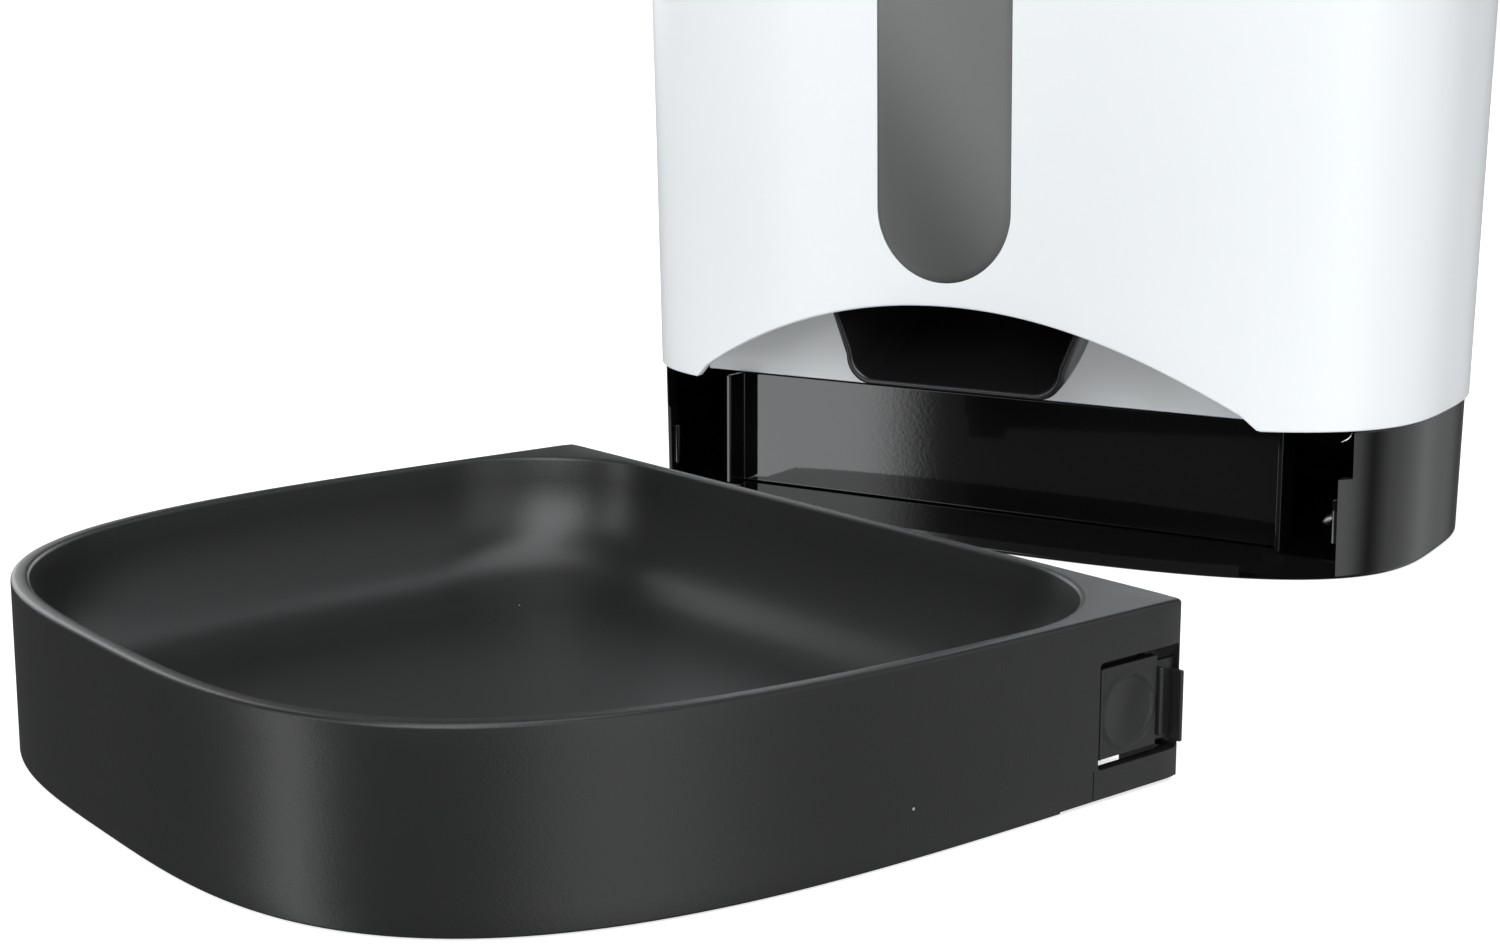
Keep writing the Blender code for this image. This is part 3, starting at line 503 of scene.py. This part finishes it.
def dress_solids():
    """The solids that stay in view, or stay inside, take the look of their finish slot."""
    slots = {part["node"]: part["material_slot"] for part in frame["record"]["subparts"]}
    for name, obj in frame["nodes"].items():
        obj.data.materials.clear()
        obj.data.materials.append(SLOT_LOOKS[slots[name]])
        smooth(obj.data, 35)


# ---------------------------------------------------------------- tower
def knuckle_barrel(low, high):
    """A hinge knuckle round the lid's axis, with its end edges taken off."""
    profile = [(KNUCKLE_RADIUS - KNUCKLE_EDGE, low), (KNUCKLE_RADIUS, low + KNUCKLE_EDGE),
               (KNUCKLE_RADIUS, high - KNUCKLE_EDGE), (KNUCKLE_RADIUS - KNUCKLE_EDGE, high)]
    return turned(profile, (0, HINGE_Y, HINGE_Z), "X", 32)


def arch_height(x, kink_z):
    """The housing's lower edge above the floor, seen from the front."""
    x = abs(x)
    if x < ARCH_KINK_X:
        return ARCH_TOP - ARCH_DROP * (x / 0.1) ** ARCH_POWER
    if x < ARCH_END_X:
        return kink_z + (HOUSING_BOTTOM - kink_z) * (x - ARCH_KINK_X) / (ARCH_END_X - ARCH_KINK_X)
    return HOUSING_BOTTOM


def make_housing():
    """The white shell as one skin, with extra points at the arch's bends."""
    kink_z = ARCH_TOP - ARCH_DROP * (ARCH_KINK_X / 0.1) ** ARCH_POWER
    turns = [2 * math.pi * i / FINE - math.pi for i in range(FINE)]
    bends = (ARCH_KINK_X - 0.0012, ARCH_KINK_X, ARCH_KINK_X + 0.0012,
             ARCH_END_X - 0.0008, ARCH_END_X, ARCH_END_X + 0.0010)
    exact = [front_turn(side * x, kink_z) for side in (-1, 1) for x in bends]
    turns = sorted([t for t in turns if all(abs(t - e) > 0.005 for e in exact)] + exact)

    def lower_edge(turn, inset):
        z = HOUSING_BOTTOM
        if math.sin(turn) < 0:
            for _ in range(6):
                z = arch_height(body_point(turn, z, inset)[0], kink_z)
        return z

    def row(inset, share=0.0, lift=0.0):
        points = []
        for turn in turns:
            low = lower_edge(turn, inset)
            z = low + lift + (HOUSING_TOP - 0.0004 - low - lift) * share
            points.append(body_point(turn, z, inset))
        return points

    edge = 0.0007
    rows = [row(inset, lift=lift) for inset, lift in reversed(quarter(edge, 5))]
    rows += [row(0.0, k / 36, edge) for k in range(1, 37)]
    rows += [body_ring_at(turns, HOUSING_TOP, 0.0004), body_ring_at(turns, HOUSING_TOP, WALL)]
    rows += [row(WALL, k / 12, edge) for k in range(11, -1, -1)]
    rows += [row(WALL - 0.0004, lift=0.0)]
    housing = new_object("housing_shell", skin(rows, closed=True), 30)
    window_hole = stadium(WINDOW_HALF + 0.00015, WINDOW_LOW, WINDOW_HIGH, 40)
    panel_hole = rounded_rect(PANEL_HALF + PANEL_GAP, PANEL_LOW - PANEL_GAP, PANEL_HIGH + PANEL_GAP,
                              PANEL_CORNER)
    carve(housing, prism(window_hole, CUT_FRONT, CUT_BACK, "Y"), prism(panel_hole, CUT_FRONT, CUT_BACK, "Y"),
          angle=30)
    for i in range(SPEAKER_SLOTS):
        slot_x = SPEAKER_X + SPEAKER_STEP * i
        outline = [(slot_x + x, z) for x, z in stadium(0.0010, 0.0810, 0.0990, 10)]
        carve(housing, prism(outline, 0.0400, 0.0900, "Y"), angle=30)
    piece(housing, WHITE, "base", "white_shell", "housing")
    for side in (-1, 1):
        low, high = sorted((side * 0.0190, side * 0.0320))
        barrel = knuckle_barrel(low, high)
        arm = box((low + 0.0007, HINGE_Y - 0.0065, HINGE_Z - 0.0075),
                  (high - 0.0007, HINGE_Y - 0.0006, HINGE_Z - 0.0007), 0.0004)
        knuckle = new_object(f"housing_knuckle_{'left' if side < 0 else 'right'}", merged(barrel, arm))
        piece(knuckle, WHITE, "base", "white_shell")


def make_window():
    outline = stadium(WINDOW_HALF, WINDOW_LOW, WINDOW_HIGH, 40)
    window = new_object("level_window", plate(outline, -0.0001, 0.0020, 0.0003))
    piece(window, SMOKE_WITH_PAINTED_SHADE, "base", "smoked_plastic", "window")


def make_base():
    """The gloss-black base: openings for the bowl, the battery door, the power socket and the feet."""
    edge = 0.0012
    rows = [body_ring(drop, BASE_INSET + inset) for inset, drop in reversed(quarter(edge, 5))]
    rows += [body_ring(edge + (BASE_TOP - edge - 0.0004) * k / 8, BASE_INSET) for k in range(1, 9)]
    rows += [body_ring(BASE_TOP, BASE_INSET + 0.0004), body_ring(BASE_TOP, BASE_INSET + WALL)]
    rows += [[(x, y, FLOOR_TOP) for x, y, _ in body_ring(0.0, BASE_INSET + WALL)]]
    base = new_object("base_moulding", skin(rows), 30)
    front, back = CUT_FRONT, -0.0300
    openings = [
        box((-SLOT_OUTER_X, front, CATCH_TOP), (SLOT_OUTER_X, back, 0.0500)),
        box((-CATCH_X, front, FLOOR_TOP), (CATCH_X, back, 0.0300)),
        box((-CATCH_X, front, SLOT_FLOOR_TOP), (-STRIP_HALF, SLOT_BACK_Y, 0.0100)),
        box((STRIP_HALF, front, SLOT_FLOOR_TOP), (CATCH_X, SLOT_BACK_Y, 0.0100)),
        box((-DOOR_OPENING_HALF, DOOR_OPENING_FRONT, -0.0100),
            (DOOR_OPENING_HALF, 0.1000, FLOOR_TOP + 0.0003)),
        turned([(SOCKET_RADIUS, 0.0400), (SOCKET_RADIUS, 0.0900)], (SOCKET_X, 0.0, SOCKET_Z), "Y", 40),
    ]
    openings += [turned([(FOOT_RADIUS, -0.0100), (FOOT_RADIUS, FOOT_RECESS)], (x, y, 0.0))
                 for x in FOOT_XS for y in FOOT_YS]
    carve(base, *openings, angle=30)
    flatten(base)
    piece(base, GLOSS, "base", "gloss_black", "base_shell")
    for name, side in (("catch_bump_left", -1), ("catch_bump_right", 1)):
        low_x, high_x = sorted((side * CATCH_TIP_X, side * (CATCH_X + 0.0008)))
        bump = box((low_x, CATCH_FACE_Y - CATCH_DEPTH, CATCH_LOW), (high_x, CATCH_FACE_Y, CATCH_HIGH), 0.0003)
        piece(new_object(name, bump), GLOSS, "base", "gloss_black")


def make_dock_panel():
    """The glossy wall behind the bowl, with a post at each end, in one U-shaped moulding."""
    x, t = POST_X, POST_WIDTH
    outline = [(-x - t / 2, POST_FRONT_Y), (-x + t / 2, POST_FRONT_Y), (-x + t / 2, DOCK_WALL_Y),
               (x - t / 2, DOCK_WALL_Y), (x - t / 2, POST_FRONT_Y), (x + t / 2, POST_FRONT_Y),
               (x + t / 2, DOCK_WALL_Y + 0.0020), (-x - t / 2, DOCK_WALL_Y + 0.0020)]
    bm = prism(outline, FLOOR_TOP + 0.0003, 0.0364)
    bmesh.ops.bevel(bm, geom=bm.edges[:], offset=0.00035, segments=3, profile=0.5, affect="EDGES")
    wall = new_object("dock_wall", bm)
    flatten(wall)
    piece(wall, GLOSS, "base", "gloss_black", "dock_panel")


def chute_section(step, grow, drop=0.0):
    """A closed cross-section of the chute, turned from level at the top to upright at the mouth."""
    def between(pair):
        return pair[0] + (pair[1] - pair[0]) * step

    near, far = between(CHUTE_NEAR) - grow, between(CHUTE_FAR) + grow
    wide, narrow = between(CHUTE_WIDE) + grow, between(CHUTE_NARROW) + grow
    corner = between(CHUTE_CORNER)
    turns = [math.pi / 2 * i / 10 for i in range(11)]
    flat = [(wide * (1 - k / 4), near) for k in range(9)]
    bend_x, bend_r = narrow - corner, far - corner
    flat += [(-bend_x - corner * math.cos(a), bend_r + corner * math.sin(a)) for a in turns]
    flat += [(bend_x + corner * math.sin(a), bend_r + corner * math.cos(a)) for a in turns]
    lean = math.pi / 2 * step
    return [(x, CHUTE_PIVOT_Y + r * math.sin(lean) - drop, CHUTE_PIVOT_Z - r * math.cos(lean))
            for x, r in flat]


def make_chute():
    steps = [i / 20 for i in range(21)]
    half = CHUTE_WALL / 2
    lip_turns = [math.pi * i / 8 for i in range(1, 8)]
    rows = [chute_section(step, 0.0) for step in reversed(steps)]
    rows += [chute_section(0.0, -half + half * math.cos(a), half * math.sin(a)) for a in lip_turns]
    rows += [chute_section(step, -CHUTE_WALL) for step in steps]
    chute = new_object("chute", skin(rows, closed=True), 50)
    piece(chute, CHUTE, "base", "satin_black", "outlet_chute")


# ---------------------------------------------------------------- controls
def make_controls():
    outline = rounded_rect(PANEL_HALF, PANEL_LOW, PANEL_HIGH, PANEL_CORNER)
    panel = new_object("control_plate", plate(outline, 0.0, 0.0022, 0.0004))
    clear = BUTTON_RADIUS + 0.0003
    holes = [turned([(clear, CUT_FRONT), (clear, CUT_BACK)], (x, 0, BUTTON_Z), "Y") for x in BUTTON_XS]
    window = rounded_rect(LENS_HALF + PANEL_GAP, LENS_LOW - PANEL_GAP, LENS_HIGH + PANEL_GAP, LENS_CORNER)
    carve(panel, *holes, prism(window, CUT_FRONT, CUT_BACK, "Y"))
    piece(panel, GLOSS, "base", "gloss_black", "control_panel")
    outline = rounded_rect(LENS_HALF, LENS_LOW, LENS_HIGH, LENS_CORNER)
    lens = new_object("display_cover", plate(outline, -0.0001, 0.0014, 0.0003))
    piece(lens, LENS, "base", "smoked_plastic", "display_lens")
    make_digits()
    names = ("button_set", "button_down", "button_up", "button_feed")
    for name, x in zip(names, BUTTON_XS):
        make_button(name, x)


def make_digits():
    """A clock face of unlit seven-segment digits, as fine raised bars on the display cover."""
    middle = (LENS_LOW + LENS_HIGH) / 2
    step = BAR_LENGTH + 0.0004

    def bar(x, z, half_x, half_z):
        y = front_y(x, z)
        return box((x - half_x, y - BAR_HEIGHT / 4, z - half_z),
                   (x + half_x, y + BAR_HEIGHT, z + half_z), 0.0002, 1)

    bars = []
    for column in DIGIT_XS:
        for up in (-1, 0, 1):
            bars.append(bar(column, middle + up * step, BAR_LENGTH / 2 - 0.0005, BAR_WIDTH / 2))
        for side in (-1, 1):
            for up in (-0.5, 0.5):
                across = column + side * BAR_LENGTH / 2
                bars.append(bar(across, middle + up * step, BAR_WIDTH / 2, BAR_LENGTH / 2 - 0.0004))
    for up in (-1, 1):
        bars.append(bar(0.0, middle + up * 0.0025, 0.0005, 0.0005))
    piece(new_object("display_digits", merged(*bars)), MARK, "base", "smoked_plastic")


def make_button(name, x):
    """A dished cap with a plain raised symbol on it."""
    face = front_y(x, BUTTON_Z)
    profile = [(BUTTON_RADIUS, 0.0060), (BUTTON_RADIUS, -0.0003), (BUTTON_RADIUS - 0.0002, -0.0006),
               (BUTTON_RADIUS - 0.0006, -0.0008), (BUTTON_RADIUS - 0.0016, -0.00065), (0.0008, -0.0004),
               (0.0, -0.0004)]
    cap = new_object(f"{name}_cap", turned(profile, (x, face, BUTTON_Z), "Y"))
    piece(cap, GREY, name, "grey_plastic", name)
    def ring(radius, count):
        turns = [2 * math.pi * i / count for i in range(count)]
        return [(radius * math.cos(a), radius * math.sin(a)) for a in turns]

    marks = {
        "button_set": ring(0.0017, 6),
        "button_down": [(-0.0016, 0.0009), (0.0, -0.0014), (0.0016, 0.0009)],
        "button_up": [(-0.0016, -0.0009), (0.0016, -0.0009), (0.0, 0.0014)],
        "button_feed": ring(0.0016, 24),
    }
    outline = [(x + u, BUTTON_Z + v) for u, v in marks[name]]
    mark = new_object(f"{name}_mark", prism(outline, face - 0.00070, face + 0.0002, "Y"))
    piece(mark, MARK, name, "white_shell")


# ---------------------------------------------------------------- lid
def make_lid():
    """The black lid as one skin from the inside, round its lower edge and over its domed top."""
    turns = [math.pi / 2 * i / 12 for i in range(13)]
    foot, crown = LID_BOTTOM + 0.0004, LID_TOP - 0.0006
    rise = crown - LID_SHOULDER
    outer = [body_ring(foot, 0.0)]
    outer += [body_ring(foot + (LID_SHOULDER - foot) * k / 6, 0.0) for k in range(1, 7)]
    outer += [body_ring(LID_SHOULDER + rise * math.sin(t), LID_REACH * (1 - math.cos(t))) for t in turns[1:]]
    outer += [body_ring(crown + 0.0006 * k / 4, LID_REACH + 0.0120 * k) for k in range(1, 5)]
    inner = [body_ring(LID_BOTTOM, 0.0004), body_ring(LID_BOTTOM, WALL)]
    under = [body_ring(LID_SHOULDER + (rise - WALL) * math.sin(t), WALL + LID_REACH * (1 - math.cos(t)))
             for t in turns]
    rows = list(reversed(under)) + list(reversed(inner)) + outer
    lid = new_object("lid_shell", skin(rows), 30)
    carve(lid, box((-0.0143, -0.1800, HINGE_Z + 0.0070), (0.0143, -0.0680, HINGE_Z + 0.0153)))
    piece(lid, LID_BLACK, "lid", "satin_black", "lid")
    barrel = knuckle_barrel(-0.0180, 0.0180)
    arm = box((-0.0173, HINGE_Y - 0.0065, HINGE_Z + 0.0011), (0.0173, HINGE_Y - 0.0006, HINGE_Z + 0.0066),
              0.0004)
    piece(new_object("lid_knuckle", merged(barrel, arm)), LID_BLACK, "lid", "satin_black")
    make_lid_latch()


def make_lid_latch():
    z = LID_CATCH_Z
    face = front_y(0.0, z)
    body = box((-0.0140, face - 0.0004, z - 0.0039), (0.0140, face + 0.0060, z + 0.0038), 0.0006)
    tongue = box((-0.0070, face + 0.0036, z - 0.0150), (0.0070, face + 0.0056, z), 0.0003)
    ribs = [box((-0.0090, face - 0.0008, z - 0.0018 + 0.0018 * i - 0.0004),
                (0.0090, face + 0.0004, z - 0.0018 + 0.0018 * i + 0.0004), 0.0002) for i in range(3)]
    catch = new_object("lid_catch", merged(body, tongue, *ribs))
    piece(catch, GREY, "lid_latch", "grey_plastic", "lid_latch")


# ---------------------------------------------------------------- bowl
BOWL_PLACE = Matrix.Translation((0, BOWL_AXIS_Y, 0)) @ Matrix.Rotation(BOWL_TURN, 4, "Z")


def bowl_half_width(ahead, inset):
    """Half-width of the bowl's outline at a distance ahead of its back edge."""
    share = max(ahead, 0.0) / (BOWL_DEPTH - inset)
    if share >= 1.0:
        return 0.0
    return (BOWL_HALF - inset) * (1 - share ** BOWL_POWER_AHEAD) ** (1 / BOWL_POWER_ACROSS)


def inside_bowl(x, y, inset, corner):
    """True where (x, y) is within the outline, with its back corners rounded."""
    ahead = BOWL_BACK - y
    if ahead < inset:
        return False
    allowed = bowl_half_width(ahead, inset)
    from_back = ahead - inset
    if from_back < corner:
        allowed -= corner - math.sqrt(corner ** 2 - (corner - from_back) ** 2)
    return abs(x) < allowed


def bowl_ring(z, inset, corner):
    """The outline met by rays from the bowl's middle, so that rings of one loft line up."""
    middle = Vector((0.0, BOWL_BACK - 0.0800))
    square = math.atan2(0.0800, BOWL_HALF)
    count = BOWL_RAYS // 4
    back = [square + (math.pi - 2 * square) * i / count for i in range(count)]
    front = [math.pi - square + (math.pi + 2 * square) * i / (3 * count) for i in range(3 * count)]
    ring = []
    for angle in back + front:
        ray = Vector((math.cos(angle), math.sin(angle)))
        near, far = 0.0, 0.2000
        for _ in range(26):
            reach = (near + far) / 2
            point = middle + ray * reach
            if inside_bowl(point.x, point.y, inset, corner):
                near = reach
            else:
                far = reach
        point = middle + ray * near
        ring.append((point.x, point.y, z))
    return ring


def make_bowl():
    """The bowl as one skin: underside, skirt, outer wall, rim and basin."""
    top, lip = BOWL_HEIGHT, RIM_WIDTH - RIM_ROUND
    wall_top = top - RIM_ROUND

    def basin(t, thick):
        """Inner wall and floor as one curve, from the rim down (t = 0) to the floor (t = 1)."""
        a = math.pi / 2 * t
        down = math.sin(a) ** (2 / BASIN_POWER)
        inwards = 1 - max(math.cos(a), 0.0) ** (2 / BASIN_POWER)
        z = wall_top - (wall_top - BOWL_FLOOR) * down - thick * t
        inset = RIM_WIDTH + BASIN_SLOPE * down + BASIN_RUN * inwards - thick * (1 - t) * 0.5
        return (z, inset, BASIN_CORNER)

    shares = [k / 22 for k in range(23)]
    rings = [basin(t, 0.0020) for t in reversed(shares[3:])]
    rings += [(top - 0.0024, SHELL + 0.0004, BASIN_CORNER), (top - 0.0024, SHELL, SQUARE_CORNER),
              (BOWL_BOTTOM, SHELL, SQUARE_CORNER)]
    rings += [(BOWL_BOTTOM + drop, inset, SQUARE_CORNER) for inset, drop in reversed(quarter(0.0005, 3))]
    rings += [(0.0010 + (top - RIM_EDGE - 0.0010) * k / 8, 0.0, SQUARE_CORNER) for k in range(1, 8)]
    rings += [(top - drop, inset, SQUARE_CORNER) for inset, drop in quarter(RIM_EDGE, 5)]
    rings += [(top, lip, BASIN_CORNER)]
    rings += [(top - RIM_ROUND * (1 - math.cos(a)), lip + RIM_ROUND * math.sin(a), BASIN_CORNER)
              for a in [math.pi / 2 * i / 4 for i in range(1, 4)]]
    rings += [basin(t, 0.0) for t in shares]
    bowl = new_object("bowl_moulding", skin([bowl_ring(*ring) for ring in rings]), 40)
    under, behind = -0.0100, BOWL_BACK + 0.0100
    cutters = [
        box((-NOTCH_HALF, BOWL_BACK - NOTCH_AHEAD, under), (NOTCH_HALF, behind, NOTCH_TOP)),
        box((-2 * BOWL_HALF, BOWL_BACK - BOWL_RAISED, under), (2 * BOWL_HALF, behind, BOWL_BACK_BOTTOM)),
    ]
    for side in (-1, 1):
        low_x, high_x = sorted((side * 0.0900, side * 0.1100))
        way = box((low_x, BOWL_BACK - LATCH_FRONT - 0.0002, LATCH_LOW - 0.0018),
                  (high_x, BOWL_BACK - LATCH_BACK, LATCH_HIGH + 0.0014), 0.0008)
        near_x, far_x = sorted((side * (BOWL_HALF - 0.0004), side * 0.1100))
        seam = box((near_x, BOWL_BACK - 0.02365, under), (far_x, BOWL_BACK - 0.0234, 0.0064))
        cutters += [way, seam]
    carve(bowl, *cutters, angle=40)
    bowl.data.transform(BOWL_PLACE)
    piece(bowl, SATIN, "bowl", "satin_black", "bowl")
    for name, side in (("latch_left", -1), ("latch_right", 1)):
        make_latch(name, side)


def latch_tab(side):
    """The spring tab, with a round fingertip hollow in its face and its free edges rounded."""
    out = BOWL_HALF - 0.0004
    back_y, front_end = BOWL_BACK - LATCH_BACK - 0.0003, BOWL_BACK - LATCH_FRONT + 0.0003
    tab_back = BOWL_BACK - 0.0066
    rows, columns = 44, 40
    hollow_y, hollow_z, hollow_radius, hollow_depth = BOWL_BACK - 0.0142, 0.0162, 0.0066, 0.0010
    grid = []
    for i in range(rows + 1):
        z = LATCH_LOW + (LATCH_HIGH - LATCH_LOW) * i / rows
        line = []
        for j in range(columns + 1):
            y = front_end + (tab_back - front_end) * j / columns
            reach = math.hypot(y - hollow_y, z - hollow_z) / hollow_radius
            sink = hollow_depth * math.cos(min(reach, 1.0) * math.pi / 2) ** 1.2 if reach < 1 else 0.0
            rim = 0.00022 * math.exp(-((reach - 1.02) / 0.05) ** 2)
            line.append((side * (out - sink + rim), y, z))
        grid.append(line)
    bm = bmesh.new()
    face = [[bm.verts.new(p) for p in line] for line in grid]
    rear = [[bm.verts.new((side * (out - 0.0018), p[1], p[2])) for p in line] for line in grid]
    for i in range(rows):
        for j in range(columns):
            bm.faces.new((face[i][j], face[i][j + 1], face[i + 1][j + 1], face[i + 1][j]))
            bm.faces.new((rear[i][j], rear[i + 1][j], rear[i + 1][j + 1], rear[i][j + 1]))
    for j in range(columns):
        bm.faces.new((face[0][j], rear[0][j], rear[0][j + 1], face[0][j + 1]))
        bm.faces.new((face[rows][j], face[rows][j + 1], rear[rows][j + 1], rear[rows][j]))
    for i in range(rows):
        bm.faces.new((face[i][0], face[i + 1][0], rear[i + 1][0], rear[i][0]))
        bm.faces.new((face[i][columns], rear[i][columns], rear[i + 1][columns], face[i + 1][columns]))
    return bm, back_y, tab_back, out


def make_latch(name, side):
    tab, back_y, tab_back, out = latch_tab(side)

    def bar(depth, high, y_low, y_high, z_low, z_high, edge):
        low_x, high_x = sorted((side * (out - depth), side * (out + high)))
        return box((low_x, y_low, z_low), (high_x, y_high, z_high), edge)

    shapes = [
        tab,
        bar(0.0018, -0.0008, tab_back - 0.0006, back_y, LATCH_LOW + 0.0003, LATCH_HIGH - 0.0014, 0.0002),
        bar(0.0012, 0.0006, BOWL_BACK - 0.0062, BOWL_BACK - 0.0052, 0.0096, 0.0226, 0.0003),
        bar(0.0012, 0.0018, back_y - 0.0009, back_y, 0.0078, 0.0215, 0.0003),
        bar(0.0008, 0.0003, BOWL_BACK - 0.0219, BOWL_BACK - 0.0213, LATCH_LOW, LATCH_HIGH, 0.0002),
    ]
    latch = new_object(f"{name}_tab", merged(*shapes))
    latch.data.transform(BOWL_PLACE)
    piece(latch, SATIN, name, "satin_black", name)


# ---------------------------------------------------------------- stage
AMBIENT = 0.10
BACKDROP = 1.1                 # what the camera sees behind the object
# compass bearings from and to and their softness in degrees; heights from and to and their softness; power
SOFT_BOXES = (
    (-42.0, -28.0, 1.0, -0.65, 0.60, 0.10, 3.1),
    (-8.0, 40.0, 9.0, 0.28, 0.97, 0.08, 4.2),
    (50.0, 88.0, 14.0, -0.65, 0.70, 0.20, 1.25),
    (98.0, 140.0, 10.0, 0.06, 0.80, 0.06, 0.60),
    (110.0, 165.0, 12.0, -0.60, 0.0, 0.06, 0.45),
    (-128.0, -96.0, 6.0, 0.02, 0.60, 0.10, 2.6),
    (-170.0, -150.0, 6.0, 0.02, 0.45, 0.10, 2.6),
    (-400.0, 400.0, 1.0, 0.94, 1.20, 0.03, 2.4),
)


def make_stage():
    """A pale floor that glows, so that it stays white, and that reflections leave out."""
    bm = bmesh.new()
    bmesh.ops.create_grid(bm, x_segments=1, y_segments=1, size=6.0)
    floor = new_object("studio_floor", bm)
    mat = bpy.data.materials.new("pale floor")
    mat.use_nodes = True
    shader = mat.node_tree.nodes["Principled BSDF"]
    shader.inputs["Base Color"].default_value = (0.60, 0.60, 0.60, 1.0)
    shader.inputs["Roughness"].default_value = 0.7
    shader.inputs["Emission Color"].default_value = (1.0, 1.0, 1.0, 1.0)
    shader.inputs["Emission Strength"].default_value = 0.70
    floor.data.materials.append(mat)
    floor.visible_glossy = False
    make_studio()


def make_studio():
    """Soft boxes painted on a dark sky by bearing (0 is -Y, 90 is +X), which the camera sees as white."""
    world = bpy.data.worlds.new("studio")
    world.use_nodes = True
    bpy.context.scene.world = world
    nodes, links = world.node_tree.nodes, world.node_tree.links

    def maths(operation, a, b):
        node = nodes.new("ShaderNodeMath")
        node.operation = operation
        for socket, value in zip(node.inputs, (a, b)):
            if isinstance(value, float):
                socket.default_value = value
            else:
                links.new(value, socket)
        return node.outputs[0]

    def ramp(value, low, high):
        node = nodes.new("ShaderNodeMapRange")
        node.interpolation_type = "SMOOTHSTEP"
        node.inputs["From Min"].default_value = low
        node.inputs["From Max"].default_value = high
        links.new(value, node.inputs["Value"])
        return node.outputs["Result"]

    def window(value, low, high, soft):
        rising = ramp(value, low - soft, low + soft)
        falling = ramp(value, high - soft, high + soft)
        return maths("SUBTRACT", rising, falling)

    where = nodes.new("ShaderNodeTexCoord")
    split = nodes.new("ShaderNodeSeparateXYZ")
    links.new(where.outputs["Generated"], split.inputs["Vector"])
    x, y, z = split.outputs
    compass = maths("ARCTAN2", x, maths("MULTIPLY", y, -1.0))
    total = AMBIENT
    for low, high, soft, z_low, z_high, z_soft, power in SOFT_BOXES:
        across = window(compass, math.radians(low), math.radians(high), math.radians(soft))
        upright = window(z, z_low, z_high, z_soft)
        total = maths("ADD", total, maths("MULTIPLY", maths("MULTIPLY", across, upright), power))
    path = nodes.new("ShaderNodeLightPath")
    seen = maths("MAXIMUM", total, maths("MULTIPLY", path.outputs["Is Camera Ray"], BACKDROP))
    background = nodes["Background"]
    background.inputs["Color"].default_value = (0.97, 0.985, 1.0, 1.0)
    links.new(seen, background.inputs["Strength"])


def make_camera():
    """Low at the right front, tilted down and turned towards the tower."""
    data = bpy.data.cameras.new("camera")
    data.sensor_width = 36.0
    data.lens = 53.45
    data.shift_y = -0.049
    data.clip_start = 0.02
    camera = bpy.data.objects.new("camera", data)
    camera.location = (0.26551, -0.59040, 0.13946)
    camera.rotation_euler = (math.pi / 2 - 0.16822, 0.0, 0.55741)
    bpy.context.scene.collection.objects.link(camera)
    bpy.context.scene.camera = camera


bpy.context.scene.view_settings.view_transform = "Standard"
make_camera()
dress_solids()
make_housing()
make_window()
make_base()
make_dock_panel()
make_chute()
make_controls()
make_lid()
make_bowl()
make_stage()
